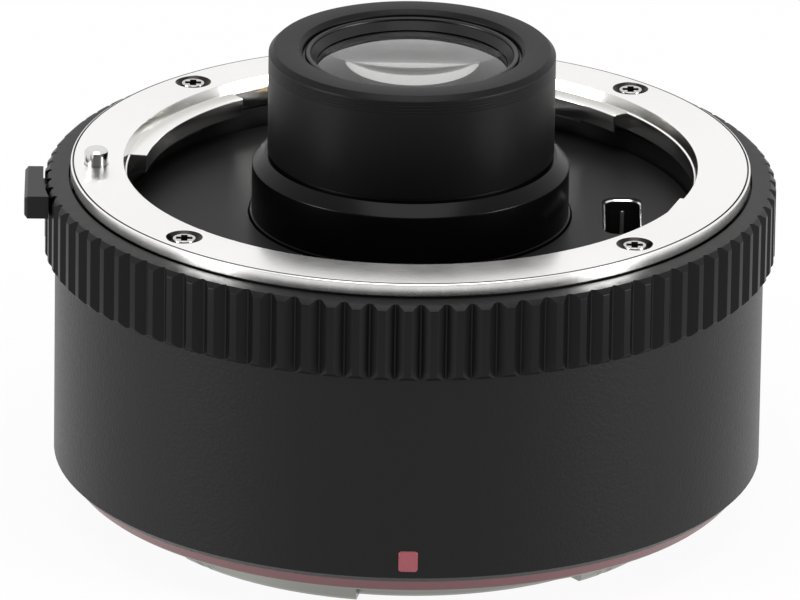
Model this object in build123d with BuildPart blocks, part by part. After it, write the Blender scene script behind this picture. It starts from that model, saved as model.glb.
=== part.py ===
from build123d import *
import os
from math import copysign, cos, radians, sin, sqrt

# A camera teleconverter: a short barrel that goes between a camera and its lens.
# The origin is on the optical axis, in the plane of the rear bayonet's lowest face.
# +Z runs along the axis to the front, where the lens is mounted, and the index mark is at -Y.
# All sizes are in millimetres and all angles in degrees.

os.makedirs("parts", exist_ok=True)

# Shared clearances
fit_gap = 0.05
loose_gap = 0.3
cement_gap = 0.02
slide_gap = 0.1
seat_gap = 0.08
overrun = 1.0

# Heights that the whole part hangs on
bayonet_reach = 3.3
flange_distance = 31.35
ring_top = bayonet_reach + flange_distance

# Front mount ring: the female bayonet
throat_radius = 27.5
throat_taper = 0.2
ring_width = 5.05
ring_edge = 0.15
ring_bevel_width = 1.25
ring_bevel_drop = 0.15
ring_thickness = 1.35
gap_wall_step = 0.35
throat_wall = 1.05
throat_wall_depth = 2.9
claw_reach = 1.95
claw_top_depth = 1.05
claw_thickness = 1.8
claw_bevel = 0.15
claw_count = 4
claw_sweep_angle = 42.5
claw_middle_angle = 61.0
stop_nub_angle = -18.6
stop_nub_sweep_angle = 9.0
stop_nub_height = 0.42
countersink_angle = 90.0

# Screws of both mounts
screw_count = 4
screw_angle = 45.0
front_screw_offset = 2.55
rear_screw_offset = 3.0
screw_head_radius = 1.75
screw_shank_radius = 0.8
screw_length = 5.2
screw_sink = 0.08
cross_width = 0.5
cross_reach = 1.15
cross_depth = 0.75

# Grip ring
grip_rise = 1.05
grip_seat = 0.75
grip_top_depth = 1.45
grip_height = 7.55
grip_chamfer = 0.48
grip_flange_gap = 0.1
grip_flange_thickness = 0.75
grip_flange_edge = 0.2
tooth_count = 90
tooth_start_angle = 0.0
groove_width = 1.8
groove_depth = 0.7

# Main barrel, trim ring and index mark
barrel_step = 1.45
barrel_wall = 2.0
barrel_bevel = 0.57
trim_height = 1.3
trim_taper = 1.7
mark_width = 1.85
mark_height = 2.1
mark_offset = 0.33
mark_rise = 1.2
mark_sink = 0.2
mark_proud = 0.05
mark_corner = 0.25

# Rear mount: the male bayonet
rim_thickness = 0.25
rim_step = 0.3
flange_play = 0.5
flange_thickness = 1.7
mount_play = 0.15
neck_wall = 2.0
neck_edge = 0.3
tab_reach = 1.5
tab_thickness = 1.2
tab_sweep_angle = 41.5
tab_middle_angle = 59.5
lip_thickness = 1.0
shim_thickness = 0.2

# Front baffle plate, which is the floor inside the mount ring
floor_depth = 5.2
floor_thickness = 1.2
floor_ledge = 0.3
slot_shift = 0.95
slot_width = 3.35
slot_length = 9.4
slot_corner = 1.2
slot_chamfer = 0.3
slot_depth = 4.85
slot_wall = 1.2
slot_pin_radius = 0.3
slot_pin_drop = 1.05
slot_pin_inset = 0.35

# Chassis: the inner metal frame
tube_wall = 1.55
ledge_step = 0.45
leaf_seat_depth = 3.25
web_thickness = 1.85
collar_depth = 8.9
collar_slope = 1.4
hub_wall = 2.7
rear_boss_radius = 2.0
rear_boss_height = 6.0
board_post_radius = 1.3
board_post_inset = 2.2

# Leaf springs under the claws
leaf_thickness = 0.3
leaf_reach = 2.1
leaf_root_angle = 36.0
leaf_tongue_angle = 20.0

# Lens lock: the pin, its spring and the release button
lock_angle = 183.4
lock_offset = 2.6
lock_travel = 1.6
lock_pin_radius = 1.13
lock_pin_height = 1.5
lock_pin_edge = 0.2
crosshead_width = 1.8
crosshead_length = 4.6
crosshead_height = 1.2
crosshead_depth = 3.05
lock_stem_radius = 0.7
lock_stem_length = 7.0
lock_boss_width = 5.2
lock_boss_floor = 1.8
spring_radius = 1.25
spring_wire = 0.3
spring_length = 5.9
spring_turns = 5
coil_steps = 12
wire_sides = 6
button_angle = 181.0
button_shift = 2.45
button_stand = 1.85
button_width = 8.3
button_height = 2.25
button_corner = 0.7
button_edge = 0.3
button_gap = 0.15
shank_width = 3.0
fork_width = 5.0
fork_reach = 1.0
fork_thickness = 0.9

# Nose: the lens barrel that reaches into the mounted lens
nose_radius = 13.73
nose_chamfer = 0.5
nose_foot_height = 1.24
nose_tube_step = 0.43
nose_mouth_chamfer = 0.4
nose_wall = 3.23
nose_thread_depth = 0.5
nose_lip_width = 0.9
nose_lip_thickness = 0.75
collar_width = 1.47
collar_top_width = 0.27
collar_side_drop = 0.09
collar_cone_height = 1.03
collar_flange_width = 0.2
collar_flange_height = 0.3

# Glass of each lens element: front curve radius, thickness at the axis and rear curve radius.
# A positive curve radius is centred behind its surface.
front_glass = (38.0, 3.6, -60.0)
crown_glass = (70.0, 3.0, -45.0)
flint_glass = (-45.0, 1.4, 45.0)
triplet_front_glass = (-48.0, 1.3, 34.0)
triplet_middle_glass = (34.0, 4.8, -36.0)
triplet_rear_glass = (-36.0, 1.4, 60.0)
meniscus_glass = (-40.0, 1.4, -90.0)
rear_glass = (50.0, 4.0, -45.0)
lens_thread_step = 0.3
doublet_step = 0.6
rear_lens_step = 0.8

# Air between the lens groups, and where the outer ones stand, measured on the axis
front_lens_sink = 0.47
rear_lens_rise = 3.94
doublet_air = 0.85
triplet_air = 5.2
meniscus_air = 5.4
rear_air = 4.4

# Rings round the lenses
retainer_width = 1.05
retainer_slope = 0.8
retainer_height = 1.05
spanner_width = 1.2
spanner_depth = 0.5
front_spacer_width = 0.6
bore_step = 0.3
middle_spacer_width = 1.0
meniscus_ring_width = 1.0
meniscus_ring_sink = 0.8
rear_ring_width = 0.9
rear_ring_step = 0.35
rear_ring_height = 1.4

# Rear cell
cell_seat_width = 0.8
cell_lip_width = 1.0
cell_skirt_width = 0.5
cell_skirt_rise = 0.3
cell_grip = 3.24
cell_skirt_thickness = 1.1

# Rear baffle
baffle_lap = 0.9
baffle_thickness = 1.0
window_width = 25.0
window_height = 17.0
window_corner = 2.0
window_chamfer = 0.5

# Electrical contacts, on the side away from the index mark
contact_angle = 90.0
contact_count = 11
contact_pitch_angle = 4.7
contact_inset = 3.25
front_block_width = 4.0
front_block_angle = 56.0
front_block_rise = 1.4
window_margin_angle = 0.5
contact_pin_radius = 0.35
contact_pin_sides = 8
contact_pin_rise = 0.9
contact_pin_length = 2.65
rear_block_width = 3.2
rear_block_angle = 60.0
rear_block_bottom = 0.5
pad_length = 1.6
pad_width = 1.2
pad_rise = 0.2

# Circuit board and its flat flexible circuits
board_drop = 5.8
board_thickness = 0.8
board_clearance = 1.2
board_angle = 150.0
board_screw_angles = (26.0, 74.0, 154.0)
board_screw_radius = 0.5
board_screw_head = 1.3
board_screw_head_height = 0.8
board_screw_length = 3.0
connector_width = 7.0
connector_depth = 2.4
connector_height = 1.1
connector_offset = 1.5
chip_angles = (52.0, 118.0)
chip_side = 5.0
chip_height = 0.9
chip_inset = 5.7
flex_width = 6.0
flex_thickness = 0.2
flex_bend = 0.8
flex_slot_margin = 0.4

# Radii that follow from the throat and the nose
ring_radius = throat_radius + ring_width
gap_wall_radius = throat_radius - gap_wall_step
claw_radius = throat_radius - claw_reach
front_screw_circle = throat_radius + front_screw_offset
lock_circle = throat_radius + lock_offset
fork_tip = lock_circle - fork_reach
contact_circle = claw_radius - contact_inset
barrel_radius = ring_radius + barrel_step
barrel_inner = barrel_radius - barrel_wall
grip_radius = barrel_radius + grip_rise
grip_inner = barrel_radius - grip_seat
grip_flange_inner = ring_radius + grip_flange_gap
button_reach = grip_radius + button_stand
trim_radius = barrel_radius - trim_taper
rim_radius = trim_radius - rim_step
flange_radius = barrel_inner - flange_play
trim_inner = flange_radius + slide_gap
neck_radius = claw_radius - mount_play
neck_inner = neck_radius - neck_wall
tab_radius = neck_radius + tab_reach
rear_screw_circle = neck_radius + rear_screw_offset
nose_tube_radius = nose_radius - nose_tube_step
nose_thread_radius = nose_radius - nose_wall
collar_radius = nose_radius + collar_width
collar_top_radius = nose_radius + collar_top_width
collar_flange_radius = collar_radius + collar_flange_width
hub_radius = nose_tube_radius + hub_wall
cell_skirt_radius = hub_radius + cell_skirt_width
front_lens_radius = nose_thread_radius - lens_thread_step
doublet_radius = front_lens_radius - doublet_step
rear_lens_radius = front_lens_radius + rear_lens_step
nose_lip_radius = doublet_radius - nose_lip_width
retainer_inner = front_lens_radius - retainer_width
retainer_top_inner = retainer_inner + retainer_slope
front_spacer_inner = doublet_radius - front_spacer_width
middle_spacer_inner = doublet_radius - middle_spacer_width
meniscus_ring_inner = front_lens_radius - meniscus_ring_width
rear_ring_inner = rear_lens_radius - rear_ring_width
cell_seat_inner = front_lens_radius - cell_seat_width
cell_lip_inner = rear_lens_radius - cell_lip_width

# Heights and other radii that follow from the sizes above
ring_underside = ring_top - ring_thickness
ring_wall_bottom = ring_top - throat_wall_depth
ring_wall_outer = gap_wall_radius + throat_wall
sink_radius = screw_head_radius + fit_gap + screw_sink
claw_top = ring_top - claw_top_depth
claw_bottom = claw_top - claw_thickness
grip_top = ring_top - grip_top_depth
grip_bottom = grip_top - grip_height
sleeve_radius = grip_inner - fit_gap
grip_flange_bottom = grip_top - grip_flange_thickness
sleeve_top = grip_flange_bottom - fit_gap
trim_bottom = bayonet_reach + rim_thickness
barrel_bottom = trim_bottom + trim_height
flange_top = bayonet_reach + flange_thickness
shim_inner = rear_screw_circle + screw_shank_radius + loose_gap
chassis_bottom = flange_top + shim_thickness
chassis_radius = barrel_inner - fit_gap
tube_inner = chassis_radius - tube_wall
floor_top = ring_top - floor_depth
floor_bottom = floor_top - floor_thickness
ledge_radius = gap_wall_radius + ledge_step
floor_radius = ledge_radius - floor_ledge
slot_centre = (collar_flange_radius + floor_radius) / 2 - slot_shift
web_bottom = floor_bottom - web_thickness
collar_bottom = ring_top - collar_depth
leaf_seat = ring_top - leaf_seat_depth
leaf_outer_radius = ring_wall_outer
leaf_root_radius = ledge_radius + fit_gap
leaf_tongue_radius = leaf_outer_radius - leaf_reach
leaf_clear_radius = ring_wall_outer + slide_gap
crosshead_top = ring_top - crosshead_depth
crosshead_bottom = crosshead_top - crosshead_height
spring_bottom = crosshead_bottom - spring_length
fork_bottom = crosshead_top + slide_gap
fork_top = fork_bottom + fork_thickness
fork_slot = 2 * (lock_pin_radius + button_gap)
shank_slot = shank_width + 2 * button_gap
latch_pocket_floor = fork_bottom - lock_travel - button_gap
latch_pocket_inner = fork_tip - button_gap
latch_pocket_width = fork_width + 2 * loose_gap
crosshead_floor = crosshead_bottom - lock_travel - loose_gap - slide_gap
button_bottom = grip_top - button_height
hub_inner = nose_tube_radius + fit_gap
nose_foot = ring_top + nose_foot_height
nose_mouth_radius = nose_thread_radius + nose_mouth_chamfer
collar_inner = nose_tube_radius + slide_gap
baffle_top = flange_top - lip_thickness
baffle_bottom = baffle_top - baffle_thickness
lip_radius = neck_inner - baffle_lap
board_top = web_bottom - board_drop
board_bottom = board_top - board_thickness
board_inner = hub_radius + board_clearance
board_outer = tube_inner - board_clearance
board_post_circle = board_outer - board_post_inset
chip_circle = board_outer - chip_inset
front_block_inner = contact_circle - front_block_width / 2
front_block_outer = contact_circle + front_block_width / 2
front_block_top = floor_top + front_block_rise
rear_block_outer = neck_inner - button_gap
rear_block_inner = rear_block_outer - rear_block_width
pad_circle = rear_block_outer - rear_block_width / 2
connector_near = contact_circle + connector_offset
connector_far = connector_near + connector_depth
lock_centre = (lock_circle * cos(radians(lock_angle)), lock_circle * sin(radians(lock_angle)))


def surface_height(vertex, curve, radius):
    """The height of a lens surface at a distance off the axis."""
    return vertex - curve + copysign(sqrt(curve**2 - radius**2), curve)


# Vertices of the lens elements, from the rear one, which stands over the rear flange
rear_lens_back = flange_top + rear_lens_rise
rear_vertex = rear_lens_back + rear_glass[1]
meniscus_back = rear_vertex + rear_air
meniscus_vertex = meniscus_back + meniscus_glass[1]
triplet_back = meniscus_vertex + meniscus_air
last_vertex = triplet_back + triplet_rear_glass[1]
middle_vertex = last_vertex + cement_gap + triplet_middle_glass[1]
triplet_vertex = middle_vertex + cement_gap + triplet_front_glass[1]
flint_back = triplet_vertex + triplet_air
flint_vertex = flint_back + flint_glass[1]
crown_vertex = flint_vertex + cement_gap + crown_glass[1]
front_lens_back = crown_vertex + doublet_air
front_vertex = front_lens_back + front_glass[1]
nose_top = front_vertex + front_lens_sink

# Heights of the rings and seats, each just clear of the glass surface that it holds
retainer_bottom = surface_height(front_vertex, front_glass[0], retainer_inner) + seat_gap
nose_thread_bottom = retainer_bottom - nose_thread_depth
front_spacer_top = surface_height(front_lens_back, front_glass[2], front_spacer_inner) - seat_gap
front_spacer_bottom = surface_height(crown_vertex, crown_glass[0], front_spacer_inner) + seat_gap
front_bore_bottom = front_spacer_bottom + bore_step
middle_spacer_top = surface_height(flint_back, flint_glass[2], doublet_radius) - seat_gap
middle_spacer_bottom = surface_height(triplet_vertex, triplet_front_glass[0], doublet_radius) + seat_gap
nose_lip_top = surface_height(triplet_back, triplet_rear_glass[2], doublet_radius) - seat_gap
nose_tube_bottom = nose_lip_top - nose_lip_thickness
cell_top = nose_tube_bottom - loose_gap
hub_bottom = cell_top - cell_grip
meniscus_ring_bottom = surface_height(meniscus_vertex, meniscus_glass[0], front_lens_radius) + seat_gap
cell_seat_height = surface_height(meniscus_back, meniscus_glass[2], cell_seat_inner) - seat_gap
cell_lip_bottom = surface_height(rear_vertex, rear_glass[0], cell_lip_inner) + seat_gap
rear_ring_top = surface_height(rear_lens_back, rear_glass[2], rear_ring_inner) - seat_gap
rear_ring_bottom = rear_ring_top - rear_ring_height
rear_ring_outer = rear_lens_radius + rear_ring_step
cell_bore_step = rear_ring_top + fit_gap
cell_skirt_bottom = baffle_top + cell_skirt_rise


def turned(*outline, mode=Mode.ADD):
    """Turns a closed outline of (radius, height) points about the optical axis."""
    with BuildSketch(Plane.XZ) as half:
        with BuildLine():
            Polyline(*outline, close=True)
        make_face()
    revolve(half.sketch, axis=Axis.Z, mode=mode)


def arc_band(inner, outer, middle, span):
    """A flat piece of a ring, between two radii and centred on an angle."""
    with BuildSketch(mode=Mode.PRIVATE) as band:
        with BuildLine():
            far = CenterArc((0, 0), outer, middle - span / 2, span)
            near = CenterArc((0, 0), inner, middle - span / 2, span)
            Line(far @ 0, near @ 0)
            Line(far @ 1, near @ 1)
        make_face()
    return band.sketch


def band_solid(inner, outer, middle, span, bottom, top, mode=Mode.ADD):
    """A piece of a ring from one height to another."""
    with BuildSketch(Plane.XY.offset(bottom)) as foot:
        add(arc_band(inner, outer, middle, span))
    extrude(foot.sketch, amount=top - bottom, mode=mode)


def block(near, far, width, bottom, top, angle, mode=Mode.ADD):
    """A box that lies along a radius at an angle, from one distance off the axis to another."""
    length = far - near
    middle = (near + far) / 2
    heading = (cos(radians(angle)), sin(radians(angle)), 0)
    with BuildSketch(Plane((0, 0, bottom), x_dir=heading, z_dir=(0, 0, 1))) as foot:
        with Locations((middle, 0)):
            Rectangle(length, width)
    extrude(foot.sketch, amount=top - bottom, mode=mode)


def round_post(radius, centre, bottom, top, mode=Mode.ADD):
    """An upright cylinder from one height to another."""
    with BuildSketch(Plane.XY.offset(bottom)) as foot:
        with Locations(centre):
            Circle(radius)
    extrude(foot.sketch, amount=top - bottom, mode=mode)


def polar_point(radius, angle):
    """A point in plan, from its distance off the axis and its angle."""
    return (radius * cos(radians(angle)), radius * sin(radians(angle)))


def contact_angles():
    """The angles of the contacts, evenly spread about the middle one."""
    first = contact_angle - contact_pitch_angle * (contact_count - 1) / 2
    return [first + contact_pitch_angle * place for place in range(contact_count)]


def screw_angles():
    """The angles of the screws in each mount."""
    return [screw_angle + 360 / screw_count * place for place in range(screw_count)]


# Front mount ring: a turned ring whose four claws hold the tabs of the lens
with BuildPart() as front_mount_ring:
    turned(
        (throat_radius, ring_top),
        (ring_radius - ring_edge - ring_bevel_width, ring_top),
        (ring_radius - ring_edge, ring_top - ring_bevel_drop),
        (ring_radius, ring_top - ring_bevel_drop - ring_edge),
        (ring_radius, ring_underside),
        (ring_wall_outer, ring_underside),
        (ring_wall_outer, ring_wall_bottom),
        (gap_wall_radius, ring_wall_bottom),
        (gap_wall_radius, claw_top - slide_gap),
        (throat_radius - throat_taper, claw_top),
    )
    for place in range(claw_count):
        claw_angle = claw_middle_angle + 360 / claw_count * place
        claw_root = gap_wall_radius + throat_taper
        band_solid(claw_radius, claw_root, claw_angle, claw_sweep_angle, claw_bottom, claw_top)
    inner_edges = front_mount_ring.edges().filter_by(GeomType.CIRCLE)
    inner_edges = inner_edges.filter_by(lambda edge: abs(edge.radius - claw_radius) < fit_gap)
    chamfer(inner_edges.group_by(Axis.Z)[-1], claw_bevel)
    with BuildSketch(Plane.XY.offset(claw_top)) as nub:
        with BuildLine():
            root = throat_radius + throat_taper
            peak = throat_radius - stop_nub_height
            Polyline(
                polar_point(root, stop_nub_angle),
                polar_point(peak, stop_nub_angle),
                polar_point(throat_radius, stop_nub_angle - stop_nub_sweep_angle),
                polar_point(root, stop_nub_angle - stop_nub_sweep_angle),
                close=True,
            )
        make_face()
    extrude(nub.sketch, amount=claw_top_depth)
    with Locations(Plane.XY.offset(ring_top)):
        with PolarLocations(front_screw_circle, screw_count, start_angle=screw_angle):
            CounterSinkHole(screw_shank_radius + fit_gap, sink_radius, counter_sink_angle=countersink_angle)
    round_post(lock_pin_radius + fit_gap, lock_centre, ring_underside, ring_top, Mode.SUBTRACT)
front_mount_ring.part.label = "front_mount_ring"
export_step(front_mount_ring.part, "parts/front_mount_ring.step")


def cross_head_screw(top, centre, direction):
    """A countersunk screw with a cross recess, its head at a height and its shank going down or up."""
    head_height = screw_head_radius - screw_shank_radius
    shank_end = top + direction * screw_length
    recess_floor = top + direction * cross_depth
    with BuildSketch(Plane((centre[0], centre[1], 0), x_dir=(1, 0, 0), z_dir=(0, -1, 0))) as half:
        with BuildLine():
            Polyline(
                (0, top),
                (screw_head_radius, top),
                (screw_shank_radius, top + direction * head_height),
                (screw_shank_radius, shank_end),
                (0, shank_end),
                close=True,
            )
        make_face()
    revolve(half.sketch, axis=Axis((centre[0], centre[1], 0), (0, 0, 1)))
    for turn in (0, 90):
        with BuildSketch(Plane.XY.offset(min(top, recess_floor))) as cross:
            with Locations(Location((centre[0], centre[1], 0), (0, 0, turn))):
                Rectangle(2 * cross_reach, cross_width)
        extrude(cross.sketch, amount=cross_depth, mode=Mode.SUBTRACT)


# Front mount screws
with BuildPart() as front_mount_screws:
    for angle in screw_angles():
        cross_head_screw(ring_top - screw_sink, polar_point(front_screw_circle, angle), -1)
front_mount_screws.part.label = "front_mount_screws"
export_step(front_mount_screws.part, "parts/front_mount_screws.step")

# Leaf springs: one flat strip under each claw, clamped between the ring and the chassis
with BuildPart() as leaf_springs:
    for place in range(claw_count):
        leaf_angle = claw_middle_angle + 360 / claw_count * place
        leaf_top = leaf_seat + leaf_thickness
        band_solid(leaf_root_radius, leaf_outer_radius, leaf_angle, leaf_root_angle, leaf_seat, leaf_top)
        band_solid(leaf_tongue_radius, leaf_outer_radius, leaf_angle, leaf_tongue_angle, leaf_seat, leaf_top)
leaf_springs.part.label = "leaf_springs"
export_step(leaf_springs.part, "parts/leaf_springs.step")

# Grip ring: a turned ring with V grooves cut between its teeth, and a slot for the button's shank
with BuildPart() as grip_ring:
    turned(
        (grip_inner, grip_bottom),
        (grip_radius - grip_chamfer, grip_bottom),
        (grip_radius, grip_bottom + grip_chamfer),
        (grip_radius, grip_top - grip_chamfer),
        (grip_radius - grip_chamfer, grip_top),
        (grip_flange_inner + grip_flange_edge, grip_top),
        (grip_flange_inner, grip_top - grip_flange_edge),
        (grip_flange_inner, grip_flange_bottom),
        (grip_inner, grip_flange_bottom),
    )
    with BuildSketch(Plane.XY.offset(grip_bottom)) as grooves:
        with PolarLocations(grip_radius - groove_depth, tooth_count, start_angle=tooth_start_angle):
            Polygon(
                (0, 0),
                (groove_depth, groove_width / 2),
                (groove_depth + fit_gap, groove_width / 2),
                (groove_depth + fit_gap, -groove_width / 2),
                (groove_depth, -groove_width / 2),
                align=None,
            )
    extrude(grooves.sketch, amount=grip_height, mode=Mode.SUBTRACT)
    slot_top = fork_top + button_gap
    block(barrel_inner, button_reach, shank_slot, latch_pocket_floor, slot_top, lock_angle, Mode.SUBTRACT)
grip_ring.part.label = "grip_ring"
export_step(grip_ring.part, "parts/grip_ring.step")

# Main barrel: the outer wall, with a thinner sleeve inside the grip ring and a pocket for the index mark
with BuildPart() as main_barrel:
    turned(
        (barrel_inner, barrel_bottom),
        (barrel_radius - barrel_bevel, barrel_bottom),
        (barrel_radius, barrel_bottom + barrel_bevel),
        (barrel_radius, grip_bottom),
        (sleeve_radius, grip_bottom),
        (sleeve_radius, sleeve_top),
        (barrel_inner, sleeve_top),
    )
    sleeve_near = barrel_inner - overrun
    block(sleeve_near, button_reach, shank_slot, latch_pocket_floor, ring_top, lock_angle, Mode.SUBTRACT)
    mark_middle = barrel_bottom + mark_rise + mark_height / 2
    mark_place = (mark_offset, mark_sink - barrel_radius, mark_middle)
    mark_plane = Plane(mark_place, x_dir=(1, 0, 0), z_dir=(0, -1, 0))
    with BuildSketch(mark_plane) as pocket:
        RectangleRounded(mark_width, mark_height, mark_corner)
    extrude(pocket.sketch, amount=overrun, mode=Mode.SUBTRACT)
main_barrel.part.label = "main_barrel"
export_step(main_barrel.part, "parts/main_barrel.step")

# Index mark: a small square inlay that stands just proud of the barrel
with BuildPart() as index_mark:
    with BuildSketch(mark_plane) as square:
        RectangleRounded(mark_width, mark_height, mark_corner)
    extrude(square.sketch, amount=overrun)
    with BuildSketch(Plane.XY) as barrel_plan:
        Circle(barrel_radius + mark_proud)
    extrude(barrel_plan.sketch, amount=ring_top, mode=Mode.INTERSECT)
index_mark.part.label = "index_mark"
export_step(index_mark.part, "parts/index_mark.step")

# Rear trim ring: a coloured ring that tapers from the barrel to the rear mount's rim
with BuildPart() as rear_trim_ring:
    turned(
        (trim_inner, trim_bottom),
        (trim_radius, trim_bottom),
        (barrel_radius - barrel_bevel, barrel_bottom),
        (trim_inner, barrel_bottom),
    )
rear_trim_ring.part.label = "rear_trim_ring"
export_step(rear_trim_ring.part, "parts/rear_trim_ring.step")

# Rear mount: the flange, its neck and four tabs, with a socket for the camera's lock pin
with BuildPart() as rear_mount:
    turned(
        (neck_inner, 0),
        (neck_radius - neck_edge, 0),
        (neck_radius, neck_edge),
        (neck_radius, bayonet_reach),
        (rim_radius, bayonet_reach),
        (rim_radius, trim_bottom),
        (flange_radius, trim_bottom),
        (flange_radius, flange_top),
        (lip_radius, flange_top),
        (lip_radius, baffle_top),
        (neck_inner, baffle_top),
    )
    for place in range(claw_count):
        tab_angle = tab_middle_angle + 360 / claw_count * place
        band_solid(neck_radius - neck_edge * 2, tab_radius, tab_angle, tab_sweep_angle, 0, tab_thickness)
    tab_edges = rear_mount.edges().filter_by(GeomType.CIRCLE)
    tab_edges = tab_edges.filter_by(lambda edge: abs(edge.radius - tab_radius) < fit_gap)
    chamfer(tab_edges.group_by(Axis.Z)[0], neck_edge)
    with Locations(Plane((0, 0, bayonet_reach), x_dir=(1, 0, 0), z_dir=(0, 0, -1))):
        with PolarLocations(rear_screw_circle, screw_count, start_angle=screw_angle):
            CounterSinkHole(screw_shank_radius + fit_gap, sink_radius, counter_sink_angle=countersink_angle)
    round_post(lock_pin_radius + button_gap, lock_centre, bayonet_reach, flange_top, Mode.SUBTRACT)
rear_mount.part.label = "rear_mount"
export_step(rear_mount.part, "parts/rear_mount.step")

# Rear mount screws
with BuildPart() as rear_mount_screws:
    for angle in screw_angles():
        cross_head_screw(bayonet_reach + screw_sink, polar_point(rear_screw_circle, angle), 1)
rear_mount_screws.part.label = "rear_mount_screws"
export_step(rear_mount_screws.part, "parts/rear_mount_screws.step")

# Rear mount shim: the thin ring, outside the screws, that sets the flange distance
with BuildPart() as rear_mount_shim:
    with BuildSketch(Plane.XY.offset(flange_top)) as shim:
        Circle(flange_radius)
        Circle(shim_inner, mode=Mode.SUBTRACT)
    extrude(shim.sketch, amount=shim_thickness)
rear_mount_shim.part.label = "rear_mount_shim"
export_step(rear_mount_shim.part, "parts/rear_mount_shim.step")

# Front baffle plate: the floor inside the mount ring, with the slot and a window for the contact block
with BuildPart() as front_baffle_plate:
    with BuildSketch(Plane.XY.offset(floor_bottom)) as plate:
        Circle(floor_radius)
        Circle(collar_flange_radius + button_gap, mode=Mode.SUBTRACT)
        window_inner = front_block_inner - button_gap
        window_outer = front_block_outer + button_gap
        window_angle = front_block_angle + 2 * window_margin_angle
        window = arc_band(window_inner, window_outer, contact_angle, window_angle)
        add(window, mode=Mode.SUBTRACT)
    extrude(plate.sketch, amount=floor_thickness)
    with BuildSketch(Plane.XY.offset(floor_bottom)) as slot:
        with Locations((slot_centre, 0)):
            RectangleRounded(slot_width, slot_length, slot_corner)
    extrude(slot.sketch, amount=floor_thickness, mode=Mode.SUBTRACT)
    top_edges = front_baffle_plate.faces().sort_by(Axis.Z)[-1].inner_wires()
    slot_wire = top_edges.filter_by(lambda wire: wire.bounding_box().size.X < slot_width + fit_gap)
    chamfer(slot_wire.edges(), slot_chamfer)
front_baffle_plate.part.label = "front_baffle_plate"
export_step(front_baffle_plate.part, "parts/front_baffle_plate.step")

# Slot pin: the upright pin seen inside the slot
slot_pin_centre = (slot_centre, slot_length / 2 - slot_pin_radius - slot_pin_inset)
slot_floor = floor_top - slot_depth
with BuildPart() as slot_pin:
    round_post(slot_pin_radius, slot_pin_centre, slot_floor, floor_top - slot_pin_drop)
slot_pin.part.label = "slot_pin"
export_step(slot_pin.part, "parts/slot_pin.step")

# Chassis: the inner frame that carries both mounts, the lens cells, the lock and the circuit board
with BuildPart() as chassis:
    turned(
        (hub_inner, floor_bottom),
        (ledge_radius, floor_bottom),
        (ledge_radius, leaf_seat),
        (leaf_clear_radius, leaf_seat),
        (leaf_clear_radius, ring_underside),
        (chassis_radius, ring_underside),
        (chassis_radius, chassis_bottom),
        (tube_inner, chassis_bottom),
        (tube_inner, collar_bottom - collar_slope),
        (tube_inner - collar_slope, collar_bottom),
        (tube_inner - collar_slope, web_bottom),
        (hub_radius, web_bottom),
        (hub_radius, hub_bottom),
        (hub_inner, hub_bottom),
    )
    for angle in screw_angles():
        boss_top = chassis_bottom + rear_boss_height
        round_post(rear_boss_radius, polar_point(rear_screw_circle, angle), chassis_bottom, boss_top)
        rib_end = tube_inner + fit_gap
        block(rear_screw_circle, rib_end, 2 * screw_head_radius, chassis_bottom, boss_top, angle)
    for angle in board_screw_angles:
        round_post(board_post_radius, polar_point(board_post_circle, angle), board_top, web_bottom)
    block(
        lock_circle - lock_boss_width / 2,
        tube_inner + tube_wall / 2,
        lock_boss_width,
        spring_bottom - lock_boss_floor,
        collar_bottom + overrun,
        lock_angle,
    )
    block(
        slot_centre - slot_width / 2 - slot_wall,
        slot_centre + slot_width / 2 + slot_wall,
        slot_length + 2 * slot_wall,
        slot_floor - slot_wall,
        web_bottom,
        0,
    )
    with BuildSketch(Plane.XY.offset(slot_floor)) as slot_well:
        with Locations((slot_centre, 0)):
            RectangleRounded(slot_width, slot_length, slot_corner)
    extrude(slot_well.sketch, amount=floor_top - slot_floor, mode=Mode.SUBTRACT)
    for angle in screw_angles():
        screw_bottom = ring_top - screw_sink - screw_length
        thread_radius = screw_shank_radius + fit_gap
        front_place = polar_point(front_screw_circle, angle)
        rear_place = polar_point(rear_screw_circle, angle)
        round_post(thread_radius, front_place, screw_bottom - loose_gap, ring_top, Mode.SUBTRACT)
        rear_end = bayonet_reach + screw_sink + screw_length + loose_gap
        round_post(thread_radius, rear_place, chassis_bottom - overrun, rear_end, Mode.SUBTRACT)
    for angle in board_screw_angles:
        post_place = polar_point(board_post_circle, angle)
        post_hole_top = board_bottom + board_screw_length + loose_gap
        round_post(board_screw_radius + fit_gap, post_place, board_top, post_hole_top, Mode.SUBTRACT)
    block(
        latch_pocket_inner,
        chassis_radius + overrun,
        latch_pocket_width,
        latch_pocket_floor,
        ring_underside + overrun,
        lock_angle,
        Mode.SUBTRACT,
    )
    block(
        lock_circle - crosshead_width / 2 - loose_gap,
        lock_circle + crosshead_width / 2 + loose_gap,
        crosshead_length + 2 * loose_gap,
        crosshead_floor,
        latch_pocket_floor + overrun,
        lock_angle,
        Mode.SUBTRACT,
    )
    round_post(spring_radius + button_gap, lock_centre, spring_bottom, crosshead_floor, Mode.SUBTRACT)
    stem_bottom = spring_bottom - lock_boss_floor - overrun
    round_post(lock_stem_radius + fit_gap, lock_centre, stem_bottom, spring_bottom, Mode.SUBTRACT)
    with BuildSketch(Plane.XY.offset(web_bottom)) as flex_slot:
        with Locations((0, contact_circle)):
            Rectangle(flex_width + 2 * flex_slot_margin, flex_thickness + 2 * flex_slot_margin)
    extrude(flex_slot.sketch, amount=web_thickness, mode=Mode.SUBTRACT)
chassis.part.label = "chassis"
export_step(chassis.part, "parts/chassis.step")

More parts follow.
